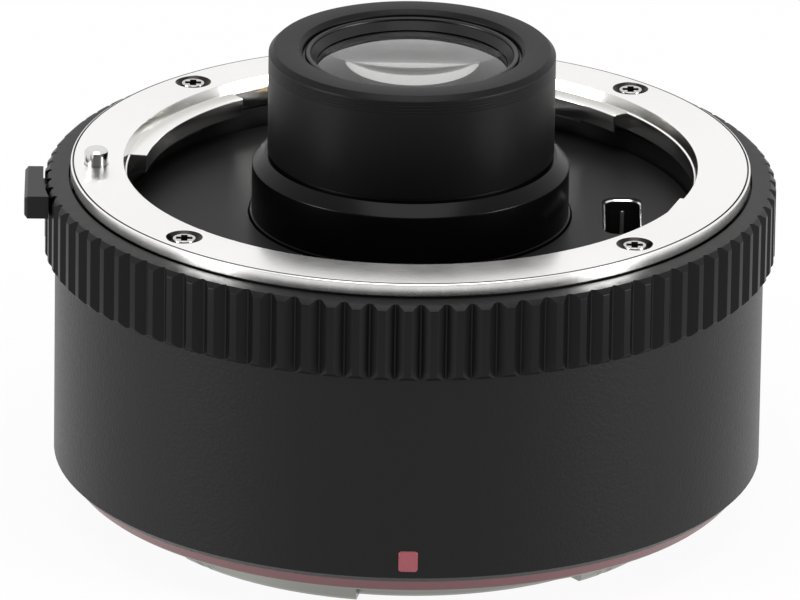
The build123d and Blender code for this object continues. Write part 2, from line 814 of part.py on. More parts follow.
# Lock pin: its head stands on the ring, and the button's fork pushes the crosshead under the ring down
with BuildPart() as lock_pin:
    pin_top = ring_top + lock_pin_height
    round_post(lock_pin_radius, lock_centre, crosshead_bottom, pin_top)
    chamfer(lock_pin.edges().sort_by(Axis.Z)[-1], lock_pin_edge)
    block(
        lock_circle - crosshead_width / 2,
        lock_circle + crosshead_width / 2,
        crosshead_length,
        crosshead_bottom,
        crosshead_top,
        lock_angle,
    )
    round_post(lock_stem_radius, lock_centre, crosshead_bottom - lock_stem_length, crosshead_bottom)
lock_pin.part.label = "lock_pin"
export_step(lock_pin.part, "parts/lock_pin.step")

# Lock pin spring: a coil round the pin's stem, between the chassis and the crosshead
with BuildPart() as lock_pin_spring:
    coil_radius = spring_radius - spring_wire / 2
    coil_height = spring_length - spring_wire - 2 * fit_gap
    coil_start = spring_bottom + spring_wire / 2 + fit_gap
    coil_turn = 360 / coil_steps
    coil_rise = coil_height / (spring_turns * coil_steps)
    coil_points = []
    for step in range(spring_turns * coil_steps + 1):
        across, along = polar_point(coil_radius, coil_turn * step)
        coil_points.append((lock_centre[0] + across, lock_centre[1] + along, coil_start + coil_rise * step))
    with BuildLine() as coil:
        Polyline(*coil_points)
    with BuildSketch(Plane(coil.line @ 0, z_dir=coil.line % 0)) as wire:
        RegularPolygon(spring_wire / 2, wire_sides)
    sweep(wire.sketch, path=coil.line, transition=Transition.RIGHT)
lock_pin_spring.part.label = "lock_pin_spring"
export_step(lock_pin_spring.part, "parts/lock_pin_spring.step")

# Release button: a head outside the grip ring, on a shank whose fork straddles the lock pin
with BuildPart() as release_button:
    heading = (cos(radians(button_angle)), sin(radians(button_angle)), 0)
    with BuildSketch(Plane((0, 0, button_bottom), x_dir=heading, z_dir=(0, 0, 1))) as head:
        with Locations(((barrel_radius + button_reach) / 2, button_shift)):
            Rectangle(button_reach - barrel_radius, button_width)
        fillet(head.vertices().group_by(Axis.X)[0], button_corner)
        Circle(grip_radius + button_gap, mode=Mode.SUBTRACT)
    extrude(head.sketch, amount=button_height)
    chamfer(release_button.faces().sort_by(Axis.X)[0].edges(), button_edge)
    head_near = grip_radius + 2 * button_gap
    block(fork_tip, chassis_radius - fit_gap, fork_width, fork_bottom, fork_top, lock_angle)
    block(lock_circle, head_near, shank_width, fork_bottom, fork_top, lock_angle)
    fork_notch = fork_tip - overrun
    block(fork_notch, lock_circle, fork_slot, fork_bottom, fork_top, lock_angle, Mode.SUBTRACT)
    round_post(fork_slot / 2, lock_centre, fork_bottom, fork_top, Mode.SUBTRACT)
release_button.part.label = "release_button"
export_step(release_button.part, "parts/release_button.step")

# Nose barrel: the front lens cell, with stepped bores for the glass and a tube that screws into the hub
with BuildPart() as nose_barrel:
    turned(
        (nose_radius - nose_chamfer, nose_top),
        (nose_radius, nose_top - nose_chamfer),
        (nose_radius, nose_foot),
        (nose_tube_radius, nose_foot),
        (nose_tube_radius, nose_tube_bottom),
        (nose_lip_radius, nose_tube_bottom),
        (nose_lip_radius, nose_lip_top),
        (doublet_radius + fit_gap, nose_lip_top),
        (doublet_radius + fit_gap, front_bore_bottom),
        (front_lens_radius + fit_gap, front_bore_bottom),
        (front_lens_radius + fit_gap, nose_thread_bottom),
        (nose_thread_radius, nose_thread_bottom),
        (nose_thread_radius, nose_top - nose_mouth_chamfer),
        (nose_mouth_radius, nose_top),
    )
nose_barrel.part.label = "nose_barrel"
export_step(nose_barrel.part, "parts/nose_barrel.step")

# Nose collar: a sleeve round the foot of the nose, with a sloped shoulder and a thin flange at the floor
with BuildPart() as nose_collar:
    collar_side_top = ring_top - collar_side_drop
    turned(
        (collar_inner, floor_bottom),
        (collar_flange_radius, floor_bottom),
        (collar_flange_radius, floor_top + collar_flange_height),
        (collar_radius, floor_top + collar_flange_height),
        (collar_radius, collar_side_top),
        (collar_top_radius, collar_side_top + collar_cone_height),
        (collar_inner, collar_side_top + collar_cone_height),
    )
nose_collar.part.label = "nose_collar"
export_step(nose_collar.part, "parts/nose_collar.step")

# Front retaining ring: a threaded ring with a sloped bore and two spanner slots
with BuildPart() as front_retaining_ring:
    retainer_top = retainer_bottom + retainer_height
    retainer_outer = nose_thread_radius - fit_gap
    turned(
        (retainer_inner, retainer_bottom),
        (retainer_outer, retainer_bottom),
        (retainer_outer, retainer_top),
        (retainer_top_inner, retainer_top),
    )
    slot_bottom = retainer_top - spanner_depth
    block(-nose_radius, nose_radius, spanner_width, slot_bottom, retainer_top + overrun, 0, Mode.SUBTRACT)
front_retaining_ring.part.label = "front_retaining_ring"
export_step(front_retaining_ring.part, "parts/front_retaining_ring.step")


def glass(vertex, front_curve, thickness, rear_curve, edge):
    """A round lens: a cylinder cut by the two spheres of its surfaces, whose poles lie off the lens."""
    rear = vertex - thickness
    with BuildSketch(Plane.XY.offset(rear - edge)) as outline:
        Circle(edge)
    extrude(outline.sketch, amount=thickness + 2 * edge)
    for height, curve, bulge in ((vertex, front_curve, front_curve), (rear, rear_curve, -rear_curve)):
        side = Mode.INTERSECT if bulge > 0 else Mode.SUBTRACT
        with Locations((0, 0, height - curve)):
            Sphere(abs(curve), rotation=(90, 0, 0), mode=side)


# Lens elements, from the front to the rear
lens_elements = {
    "front_element": (front_vertex, front_glass, front_lens_radius),
    "doublet_crown": (crown_vertex, crown_glass, doublet_radius),
    "doublet_flint": (flint_vertex, flint_glass, doublet_radius),
    "triplet_front": (triplet_vertex, triplet_front_glass, doublet_radius),
    "triplet_middle": (middle_vertex, triplet_middle_glass, doublet_radius),
    "triplet_rear": (last_vertex, triplet_rear_glass, doublet_radius),
    "rear_meniscus": (meniscus_vertex, meniscus_glass, front_lens_radius),
    "rear_element": (rear_vertex, rear_glass, rear_lens_radius),
}
for name, (vertex, shape, edge) in lens_elements.items():
    with BuildPart() as element:
        glass(vertex, *shape, edge)
    element.part.label = name
    export_step(element.part, f"parts/{name}.step")

# Front spacer: a stepped ring between the front element and the doublet
with BuildPart() as front_spacer:
    turned(
        (front_spacer_inner, front_spacer_bottom),
        (doublet_radius, front_spacer_bottom),
        (doublet_radius, front_bore_bottom + fit_gap),
        (front_lens_radius, front_bore_bottom + fit_gap),
        (front_lens_radius, front_spacer_top),
        (front_spacer_inner, front_spacer_top),
    )
front_spacer.part.label = "front_spacer"
export_step(front_spacer.part, "parts/front_spacer.step")

# Middle spacer: a plain ring between the doublet and the triplet
with BuildPart() as middle_spacer:
    turned(
        (middle_spacer_inner, middle_spacer_bottom),
        (doublet_radius, middle_spacer_bottom),
        (doublet_radius, middle_spacer_top),
        (middle_spacer_inner, middle_spacer_top),
    )
middle_spacer.part.label = "middle_spacer"
export_step(middle_spacer.part, "parts/middle_spacer.step")

# Rear cell: the tube that screws into the hub from behind, with a skirt that closes the rear
with BuildPart() as rear_cell:
    skirt_top = cell_skirt_bottom + cell_skirt_thickness
    turned(
        (front_lens_radius + fit_gap, cell_top),
        (nose_tube_radius, cell_top),
        (nose_tube_radius, skirt_top),
        (cell_skirt_radius, skirt_top),
        (cell_skirt_radius, cell_skirt_bottom),
        (rear_ring_outer + fit_gap, cell_skirt_bottom),
        (rear_ring_outer + fit_gap, cell_bore_step),
        (rear_lens_radius + fit_gap, cell_bore_step),
        (rear_lens_radius + fit_gap, cell_lip_bottom),
        (cell_lip_inner, cell_lip_bottom),
        (cell_seat_inner, cell_seat_height),
        (front_lens_radius + fit_gap, cell_seat_height),
    )
rear_cell.part.label = "rear_cell"
export_step(rear_cell.part, "parts/rear_cell.step")

# Meniscus ring: holds the rear meniscus in the cell
with BuildPart() as meniscus_ring:
    meniscus_ring_top = cell_top - meniscus_ring_sink
    turned(
        (meniscus_ring_inner, meniscus_ring_bottom),
        (front_lens_radius, meniscus_ring_bottom),
        (front_lens_radius, meniscus_ring_top),
        (meniscus_ring_inner, meniscus_ring_top),
    )
meniscus_ring.part.label = "meniscus_ring"
export_step(meniscus_ring.part, "parts/meniscus_ring.step")

# Rear retaining ring: holds the rear element, with two spanner slots
with BuildPart() as rear_retaining_ring:
    turned(
        (rear_ring_inner, rear_ring_bottom),
        (rear_ring_outer, rear_ring_bottom),
        (rear_ring_outer, rear_ring_top),
        (rear_ring_inner, rear_ring_top),
    )
    slot_top = rear_ring_bottom + spanner_depth
    block(-nose_radius, nose_radius, spanner_width, rear_ring_bottom - overrun, slot_top, 0, Mode.SUBTRACT)
rear_retaining_ring.part.label = "rear_retaining_ring"
export_step(rear_retaining_ring.part, "parts/rear_retaining_ring.step")

# Rear baffle: a black mask with a rectangular window, and a slot for the rear flexible circuit
with BuildPart() as rear_baffle:
    with BuildSketch(Plane.XY.offset(baffle_bottom)) as mask:
        Circle(neck_inner - slide_gap)
        RectangleRounded(window_width, window_height, window_corner, mode=Mode.SUBTRACT)
        with Locations((0, pad_circle)):
            Rectangle(flex_width + flex_slot_margin, flex_thickness + flex_slot_margin, mode=Mode.SUBTRACT)
    extrude(mask.sketch, amount=baffle_thickness)
    lower_wires = rear_baffle.faces().sort_by(Axis.Z)[0].inner_wires()
    window_wire = lower_wires.filter_by(lambda wire: wire.bounding_box().size.X > window_height)
    chamfer(window_wire.edges(), window_chamfer)
rear_baffle.part.label = "rear_baffle"
export_step(rear_baffle.part, "parts/rear_baffle.step")

# Front contact block: a curved bar that stands on the chassis and holds the sprung pins
with BuildPart() as front_contact_block:
    band_solid(
        front_block_inner, front_block_outer, contact_angle, front_block_angle, floor_bottom, front_block_top
    )
    with BuildSketch(Plane.XY.offset(floor_bottom)) as pin_holes:
        with Locations([polar_point(contact_circle, angle) for angle in contact_angles()]):
            RegularPolygon(contact_pin_radius + fit_gap, contact_pin_sides)
    extrude(pin_holes.sketch, amount=front_block_top - floor_bottom, mode=Mode.SUBTRACT)
front_contact_block.part.label = "front_contact_block"
export_step(front_contact_block.part, "parts/front_contact_block.step")

# Contact pins: sprung pins that the lens presses down together
with BuildPart() as contact_pins:
    pin_tip = front_block_top + contact_pin_rise
    with BuildSketch(Plane.XY.offset(pin_tip - contact_pin_length)) as pin_feet:
        with Locations([polar_point(contact_circle, angle) for angle in contact_angles()]):
            RegularPolygon(contact_pin_radius, contact_pin_sides)
    extrude(pin_feet.sketch, amount=contact_pin_length)
contact_pins.part.label = "contact_pins"
export_step(contact_pins.part, "parts/contact_pins.step")

# Rear contact block: a curved bar under the rear baffle
with BuildPart() as rear_contact_block:
    band_solid(
        rear_block_inner, rear_block_outer, contact_angle, rear_block_angle, rear_block_bottom, baffle_bottom
    )
rear_contact_block.part.label = "rear_contact_block"
export_step(rear_contact_block.part, "parts/rear_contact_block.step")

# Rear contact pads: flat pads that meet the camera's pins
with BuildPart() as rear_contact_pads:
    for angle in contact_angles():
        pad_near = pad_circle - pad_length / 2
        pad_bottom = rear_block_bottom - pad_rise
        block(pad_near, pad_near + pad_length, pad_width, pad_bottom, rear_block_bottom, angle)
rear_contact_pads.part.label = "rear_contact_pads"
export_step(rear_contact_pads.part, "parts/rear_contact_pads.step")

# Circuit board: part of a ring, hung on three posts under the web
with BuildPart() as circuit_board:
    with BuildSketch(Plane.XY.offset(board_bottom)) as board:
        add(arc_band(board_inner, board_outer, contact_angle, board_angle))
        with Locations([polar_point(board_post_circle, angle) for angle in board_screw_angles]):
            Circle(board_screw_radius + fit_gap, mode=Mode.SUBTRACT)
    extrude(board.sketch, amount=board_thickness)
circuit_board.part.label = "circuit_board"
export_step(circuit_board.part, "parts/circuit_board.step")

# Board components: two chips under the board, and a connector above and below it
with BuildPart() as board_components:
    connector_top = board_top + connector_height
    connector_foot = board_bottom - connector_height
    block(connector_near, connector_far, connector_width, board_top, connector_top, contact_angle)
    block(connector_near, connector_far, connector_width, connector_foot, board_bottom, contact_angle)
    for angle in chip_angles:
        chip_near = chip_circle - chip_side / 2
        chip_far = chip_circle + chip_side / 2
        block(chip_near, chip_far, chip_side, board_bottom - chip_height, board_bottom, angle)
board_components.part.label = "board_components"
export_step(board_components.part, "parts/board_components.step")

# Board screws: pan-head screws from below
with BuildPart() as board_screws:
    for angle in board_screw_angles:
        screw_place = polar_point(board_post_circle, angle)
        head_bottom = board_bottom - board_screw_head_height
        round_post(board_screw_head, screw_place, head_bottom, board_bottom)
        round_post(board_screw_radius, screw_place, board_bottom, board_bottom + board_screw_length)
board_screws.part.label = "board_screws"
export_step(board_screws.part, "parts/board_screws.step")


def flex_strip(*route):
    """A flat flexible circuit that follows a route of (distance from the axis, height) points."""
    with BuildSketch(Plane.YZ) as strip:
        with BuildLine() as path:
            FilletPolyline(*route, radius=flex_bend)
        trace(path.line, line_width=flex_thickness)
    extrude(strip.sketch, amount=flex_width / 2, both=True)


# Front flexible circuit: from the upper connector to the contact block
with BuildPart() as front_flex:
    flex_strip(
        (connector_near, board_top + connector_height / 2),
        (contact_circle, board_top + connector_height / 2),
        (contact_circle, floor_bottom),
    )
front_flex.part.label = "front_flex"
export_step(front_flex.part, "parts/front_flex.step")

# Rear flexible circuit: from the lower connector to the rear contact block
with BuildPart() as rear_flex:
    flex_strip(
        (connector_near, board_bottom - connector_height / 2),
        (pad_circle, board_bottom - connector_height / 2),
        (pad_circle, baffle_bottom),
    )
rear_flex.part.label = "rear_flex"
export_step(rear_flex.part, "parts/rear_flex.step")
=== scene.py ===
from math import ceil, cos, radians, sin, sqrt, tan

import bpy
from mathutils import Matrix, Vector


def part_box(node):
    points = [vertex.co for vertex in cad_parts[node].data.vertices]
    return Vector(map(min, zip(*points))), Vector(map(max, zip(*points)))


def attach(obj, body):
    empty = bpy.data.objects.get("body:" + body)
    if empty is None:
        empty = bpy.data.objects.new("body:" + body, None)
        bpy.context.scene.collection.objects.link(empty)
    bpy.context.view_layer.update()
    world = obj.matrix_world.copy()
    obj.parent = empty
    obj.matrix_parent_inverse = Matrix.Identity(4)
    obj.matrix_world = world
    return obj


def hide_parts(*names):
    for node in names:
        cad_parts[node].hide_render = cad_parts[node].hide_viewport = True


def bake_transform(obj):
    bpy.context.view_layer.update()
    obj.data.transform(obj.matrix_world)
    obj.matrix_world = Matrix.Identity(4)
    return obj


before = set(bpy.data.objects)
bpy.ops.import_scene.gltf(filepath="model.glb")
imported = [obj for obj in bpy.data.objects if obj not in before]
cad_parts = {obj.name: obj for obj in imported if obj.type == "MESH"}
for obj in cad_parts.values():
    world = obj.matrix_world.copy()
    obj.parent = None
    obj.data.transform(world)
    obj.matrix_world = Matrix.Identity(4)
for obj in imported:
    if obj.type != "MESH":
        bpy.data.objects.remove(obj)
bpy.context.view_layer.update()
MM = 0.001

# Camera: a long lens, about 1.4 m away, that looks down on the front mount.
# It stands 20.5 degrees above the mount's plane and leans by under a degree.
ring_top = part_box("front_mount_ring")[1].z
CAMERA_DISTANCE = 1359.48 * MM
CAMERA_RISE = radians(20.50)
CAMERA_LEAN = radians(0.865)
CAMERA_LENS = 638.98
AIM_LEFT = 0.82 * MM
AIM_DOWN = 13.27 * MM
NEAREST_SEEN = 50 * MM
ring_middle = Vector((0, 0, ring_top))
toward_camera = Vector((0, -cos(CAMERA_RISE), sin(CAMERA_RISE)))
view_up = Vector((0, sin(CAMERA_RISE), cos(CAMERA_RISE)))
aim = ring_middle - Vector((AIM_LEFT, 0, 0)) - view_up * AIM_DOWN
camera_data = bpy.data.cameras.new("long_lens")
camera_data.lens = CAMERA_LENS
camera_data.clip_start = NEAREST_SEEN
camera = bpy.data.objects.new("long_lens", camera_data)
bpy.context.scene.collection.objects.link(camera)
camera.location = ring_middle + toward_camera * CAMERA_DISTANCE
camera.rotation_mode = "QUATERNION"
looking = (aim - camera.location).to_track_quat("-Z", "Y")
camera.rotation_quaternion = looking @ Matrix.Rotation(CAMERA_LEAN, 3, "Z").to_quaternion()
bpy.context.scene.camera = camera
bpy.context.scene.view_settings.view_transform = "Standard"


# Studio: a pale paper sweep under a white sky, with soft boxes above and at both sides.
# The camera sees white all round, but light and reflections find the room dark on the camera's side.
PAPER_SIZE = 6.0
PAPER_WHITE = "#F0F0F0"
PAPER_GLOW = 0.93
SKY_WHITE = "#FFFFFF"
SKY_LEVEL = 0.5
DARK_ROOM = 0.1
DARK_BEHIND = -0.8
LIGHT_BEFORE = -0.4
SOFT_BOXES = (
    ("top_box", (0.0, -0.3, 1.2), 0.9, 8.0),
    ("left_box", (-1.15, -0.45, 0.24), 0.4, 11.0),
    ("right_box", (1.15, -0.45, 0.24), 0.4, 13.0),
)


def linear(hex_code):
    """The linear colour of an sRGB hex value."""
    channels = [int(hex_code[place : place + 2], 16) / 255 for place in (1, 3, 5)]
    return [c / 12.92 if c <= 0.04045 else ((c + 0.055) / 1.055) ** 2.4 for c in channels] + [1.0]


def add_node(tree, kind, settings=None, links=None):
    """Adds a shader node with its settings, and links other nodes' outputs to its inputs."""
    node = tree.nodes.new("ShaderNode" + kind)
    for name, value in (settings or {}).items():
        if isinstance(name, str) and hasattr(node, name):
            setattr(node, name, value)
        else:
            node.inputs[name].default_value = value
    for name, source in (links or {}).items():
        tree.links.new(source, node.inputs[name])
    return node


def seen_directly(tree):
    """One for a ray of the camera, of gloss or through glass, and nought for the rest."""
    rays = add_node(tree, "LightPath")
    seen = rays.outputs["Is Camera Ray"]
    for kind in ("Is Glossy Ray", "Is Transmission Ray"):
        either = add_node(tree, "Math", {"operation": "MAXIMUM"}, {0: seen, 1: rays.outputs[kind]})
        seen = either.outputs[0]
    return seen


def new_finish(name):
    """A new node material and its empty tree."""
    material = bpy.data.materials.new(name)
    material.use_nodes = True
    material.node_tree.nodes.clear()
    return material, material.node_tree


bpy.ops.object.select_all(action="DESELECT")
bpy.ops.mesh.primitive_plane_add(size=PAPER_SIZE)
sweep = bpy.context.object
sweep.name = "paper_sweep"
# Matt paper: an even white without an edge, on which only the part's soft shadow shows.
sweep_paper, tree = new_finish("matt_white_paper")
share = add_node(tree, "Math", {"operation": "MULTIPLY", 1: PAPER_GLOW}, {0: seen_directly(tree)})
matt = add_node(tree, "BsdfDiffuse", {"Color": linear(PAPER_WHITE)})
glow = add_node(tree, "Emission", {"Color": linear(SKY_WHITE)})
sheet = add_node(tree, "MixShader", {}, {0: share.outputs[0], 1: matt.outputs[0], 2: glow.outputs[0]})
add_node(tree, "OutputMaterial", {}, {"Surface": sheet.outputs[0]})
sweep.data.materials.append(sweep_paper)

# White sky: an even light at half strength, and dimmed on the camera's side.
sky = bpy.data.worlds.new("white_sky")
sky.use_nodes = True
tree = sky.node_tree
tree.nodes.clear()
level = add_node(tree, "MapRange", {"To Min": SKY_LEVEL, "To Max": 1.0}, {"Value": seen_directly(tree)})
toward = add_node(tree, "TexCoord").outputs["Generated"]
back = add_node(tree, "SeparateXYZ", {}, {0: toward}).outputs["Y"]
front_share = add_node(
    tree,
    "MapRange",
    {"From Min": DARK_BEHIND, "From Max": LIGHT_BEFORE, "To Min": DARK_ROOM, "To Max": 1.0},
    {"Value": back},
)
share = add_node(
    tree,
    "Math",
    {"operation": "MAXIMUM"},
    {0: front_share.outputs[0], 1: add_node(tree, "LightPath").outputs["Is Camera Ray"]},
)
level = add_node(tree, "Math", {"operation": "MULTIPLY"}, {0: level.outputs[0], 1: share.outputs[0]})
glow = add_node(tree, "Background", {"Color": linear(SKY_WHITE)}, {"Strength": level.outputs[0]})
add_node(tree, "OutputWorld", {}, {"Surface": glow.outputs[0]})
bpy.context.scene.world = sky

for name, place, width, watts in SOFT_BOXES:
    lamp = bpy.data.lights.new(name, "AREA")
    lamp.size = width
    lamp.energy = watts
    soft_box = bpy.data.objects.new(name, lamp)
    soft_box.location = place
    soft_box.rotation_euler = (-Vector(place)).to_track_quat("-Z", "Y").to_euler()
    bpy.context.scene.collection.objects.link(soft_box)


# Chassis: the inner frame, die-cast in aluminium, blasted and anodised black against stray light.
# Both mounts, the lens tube, the circuit board and the barrel are screwed or pressed to it.
CHASSIS_BLACK = "#141415"
CHASSIS_BLAST = 0.25
NOISE_LOW = 0.3
NOISE_HIGH = 0.7
GLOSS_SPREAD = 0.03


def grained(name, colour, grain, depth, roughness, gloss, metal=0.0):
    """A finish with a fine grain, of a size and depth in mm, that also breaks up its gloss a little."""
    material, tree = new_finish(name)
    place = add_node(tree, "TexCoord").outputs["Object"]
    grit = add_node(
        tree, "TexNoise", {"Scale": 1 / (grain * MM), "Detail": 3.0, "Roughness": 0.6}, {"Vector": place}
    ).outputs["Fac"]
    relief = add_node(tree, "Bump", {"Strength": 1.0, "Distance": depth * MM}, {"Height": grit})
    rough = add_node(
        tree,
        "MapRange",
        {
            "From Min": NOISE_LOW,
            "From Max": NOISE_HIGH,
            "To Min": roughness - GLOSS_SPREAD,
            "To Max": roughness + GLOSS_SPREAD,
        },
        {"Value": grit},
    )
    shader = add_node(
        tree,
        "BsdfPrincipled",
        {"Base Color": linear(colour), "Specular IOR Level": gloss, "Metallic": metal},
        {"Normal": relief.outputs[0], "Roughness": rough.outputs[0]},
    )
    add_node(tree, "OutputMaterial", {}, {"Surface": shader.outputs[0]})
    return material


def finish_nodes(material, *names):
    """Gives CAD nodes their finish."""
    for name in names:
        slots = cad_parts[name].data.materials
        slots.clear()
        slots.append(material)


# Anodising over blasting: a dull even black that only just sparkles.
# Its grain is drawn coarser than the real one, so that it shows.
blasted_black = grained(
    "blasted_black_anodising", CHASSIS_BLACK, grain=CHASSIS_BLAST, depth=0.006, roughness=0.5, gloss=0.3
)
finish_nodes(blasted_black, "chassis")


# Lens cells, spacers and rings: turned from aluminium rod and anodised matt black.
# They screw or drop into the tube and clamp the glasses at their air gaps.
CELL_BLACK = "#0C0C0C"
CELL_PITCH = 0.3
GRIT_SIZE = 0.16
GRIT_DEPTH = 0.003


def turned_black(name, colour, roughness, gloss, pitch, depth):
    """Black anodised aluminium with turned lines up its height, of a pitch and depth in mm."""
    material, tree = new_finish(name)
    place = add_node(tree, "TexCoord").outputs["Object"]
    height = add_node(tree, "SeparateXYZ", {}, {0: place}).outputs["Z"]
    lines = add_node(
        tree,
        "TexNoise",
        {"noise_dimensions": "1D", "Scale": 1 / (pitch * MM), "Detail": 2.0},
        {"W": height},
    ).outputs["Fac"]
    ridges = add_node(tree, "Bump", {"Strength": 1.0, "Distance": depth * MM}, {"Height": lines})
    grit = add_node(
        tree, "TexNoise", {"Scale": 1 / (GRIT_SIZE * MM), "Detail": 2.0}, {"Vector": place}
    ).outputs["Fac"]
    relief = add_node(
        tree,
        "Bump",
        {"Strength": 1.0, "Distance": GRIT_DEPTH * MM},
        {"Height": grit, "Normal": ridges.outputs[0]},
    )
    rough = add_node(
        tree,
        "MapRange",
        {
            "From Min": NOISE_LOW,
            "From Max": NOISE_HIGH,
            "To Min": roughness - GLOSS_SPREAD,
            "To Max": roughness + GLOSS_SPREAD,
        },
        {"Value": grit},
    )
    shader = add_node(
        tree,
        "BsdfPrincipled",
        {"Base Color": linear(colour), "Specular IOR Level": gloss},
        {"Normal": relief.outputs[0], "Roughness": rough.outputs[0]},
    )
    add_node(tree, "OutputMaterial", {}, {"Surface": shader.outputs[0]})
    return material


# Matt anodising: near black, and its turned lines break up what gloss is left.
# The lines are drawn wider apart than real feed marks, so that they show.
cell_anodising = turned_black(
    "matt_cell_anodising", CELL_BLACK, roughness=0.5, gloss=0.25, pitch=CELL_PITCH, depth=0.002
)
finish_nodes(cell_anodising, "rear_cell", "front_spacer", "middle_spacer")
finish_nodes(cell_anodising, "meniscus_ring", "rear_retaining_ring")


# Inner glasses: ground, polished and coated elements, five of them cemented into two groups.
# The coating lets nearly all light through, and a trace of dust takes the edge off its gloss.
GLASS_TINT = "#C9CAC8"
GLASS_IOR = 1.6
DUST_SIZE = 1.5
DUST_LOW = 0.45
DUST_HIGH = 0.8
DUST_HAZE = 0.015


def coated(name, reflection):
    """Optical glass whose coating leaves a share of its reflection, where a half is bare glass."""
    material, tree = new_finish(name)
    place = add_node(tree, "TexCoord").outputs["Object"]
    dust = add_node(tree, "TexNoise", {"Scale": 1 / (DUST_SIZE * MM), "Detail": 4.0}, {"Vector": place})
    rough = add_node(
        tree,
        "MapRange",
        {"From Min": DUST_LOW, "From Max": DUST_HIGH, "To Min": 0.0, "To Max": DUST_HAZE},
        {"Value": dust.outputs["Fac"]},
    )
    shader = add_node(
        tree,
        "BsdfPrincipled",
        {
            "Base Color": linear(GLASS_TINT),
            "IOR": GLASS_IOR,
            "Transmission Weight": 1.0,
            "Specular IOR Level": reflection,
        },
        {"Roughness": rough.outputs[0]},
    )
    add_node(tree, "OutputMaterial", {}, {"Surface": shader.outputs[0]})
    return material


# Coated glass: clear, a trace of grey through its depth, and only weak reflections.
inner_glass = coated("coated_inner_glass", reflection=0.22)
finish_nodes(inner_glass, "doublet_crown", "doublet_flint")
finish_nodes(inner_glass, "triplet_front", "triplet_middle", "triplet_rear")
finish_nodes(inner_glass, "rear_meniscus", "rear_element")


# Front glass: a biconvex element that the retaining ring clamps in the mouth of the nose.
# It is the glass that shows, so its polished faces are turned finer than the CAD's.
FRONT_GLASS_RADIUS = 10.2
FRONT_CURVE = 38.0
BACK_CURVE = 60.0
GLASS_RINGS = 14
TURN_STEPS = 180
ARC_STEP = 20
SAME_PLACE = 0.002


def rounded(points):
    """An outline in mm, in which a point with a third number gets an arc of that radius."""
    outline = []
    for place, point in enumerate(points):
        corner = Vector(point[:2])
        if len(point) == 2:
            outline.append(corner)
            continue
        before = (Vector(points[place - 1][:2]) - corner).normalized()
        after = (Vector(points[(place + 1) % len(points)][:2]) - corner).normalized()
        half = before.angle(after) / 2
        middle = corner + (before + after).normalized() * point[2] / sin(half)
        start = corner + before * point[2] / tan(half) - middle
        end = corner + after * point[2] / tan(half) - middle
        turn = start.angle(end)
        steps = max(2, ceil(turn / radians(ARC_STEP)))
        for step in range(steps + 1):
            share = step / steps
            outline.append(middle + (start * sin((1 - share) * turn) + end * sin(share * turn)) / sin(turn))
    return outline


def draw(name, places, closed=True):
    """Starts a piece in edit mode as one point, and extrudes it along places, in metres."""
    bpy.ops.object.select_all(action="DESELECT")
    bpy.ops.mesh.primitive_plane_add(size=MM)
    piece = bpy.context.object
    piece.name = name
    bpy.ops.object.mode_set(mode="EDIT")
    bpy.ops.mesh.merge(type="CENTER")
    bpy.ops.transform.translate(value=places[0])
    for here, there in zip(places, places[1:] + places[: int(closed)]):
        bpy.ops.mesh.extrude_region_move(TRANSFORM_OT_translate={"value": there - here})
    bpy.ops.mesh.select_all(action="SELECT")
    bpy.ops.mesh.remove_doubles(threshold=SAME_PLACE * MM)
    return piece


def close_piece(piece, crease):
    """Merges doubles, points the faces outwards and smooths all that turn by less than the crease."""
    bpy.ops.mesh.select_all(action="SELECT")
    bpy.ops.mesh.remove_doubles(threshold=SAME_PLACE * MM)
    bpy.ops.mesh.normals_make_consistent(inside=False)
    bpy.ops.object.mode_set(mode="OBJECT")
    bpy.ops.object.shade_smooth_by_angle(angle=radians(crease))
    return piece


def turned(name, points, base, start=0.0, sweep=360.0, closed=True, crease=30):
    """Turns an outline of (radius, height) in mm about the axis. The spin runs clockwise."""
    heading = Vector((cos(radians(start + sweep)), sin(radians(start + sweep)), 0)) * MM
    outline = rounded(points)
    places = [heading * radius + Vector((0, 0, base + height * MM)) for radius, height in outline]
    piece = draw(name, places, closed)
    if sweep < 360:
        bpy.ops.mesh.edge_face_add()
    steps = ceil(TURN_STEPS * sweep / 360)
    bpy.ops.mesh.spin(steps=steps, angle=radians(sweep), center=(0, 0, 0), axis=(0, 0, 1))
    return close_piece(piece, crease)


def seat(piece, body, slot, material, *stands_for):
    """Gives a piece its finish if it has none and its body, and hides the CAD nodes that it stands for. The
    slot is not used.
    """
    if not piece.data.materials:
        piece.data.materials.append(material)
    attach(piece, body)
    if stands_for:
        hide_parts(*stands_for)


glass_low, glass_high = (corner.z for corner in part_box("front_element"))
glass_height = (glass_high - glass_low) / MM
steps = [FRONT_GLASS_RADIUS * step / GLASS_RINGS for step in range(GLASS_RINGS + 1)]
front_face = [(r, glass_height - (FRONT_CURVE - sqrt(FRONT_CURVE**2 - r**2))) for r in steps]
back_face = [(r, BACK_CURVE - sqrt(BACK_CURVE**2 - r**2)) for r in reversed(steps)]
front_glass = turned("front_glass", front_face + back_face, glass_low, closed=False)
# Coated front glass: the same clear glass, which mirrors twice as much, as the outermost face.
outer_glass = coated("coated_front_glass", reflection=0.45)
seat(front_glass, "converter", "optical_glass", outer_glass, "front_element")


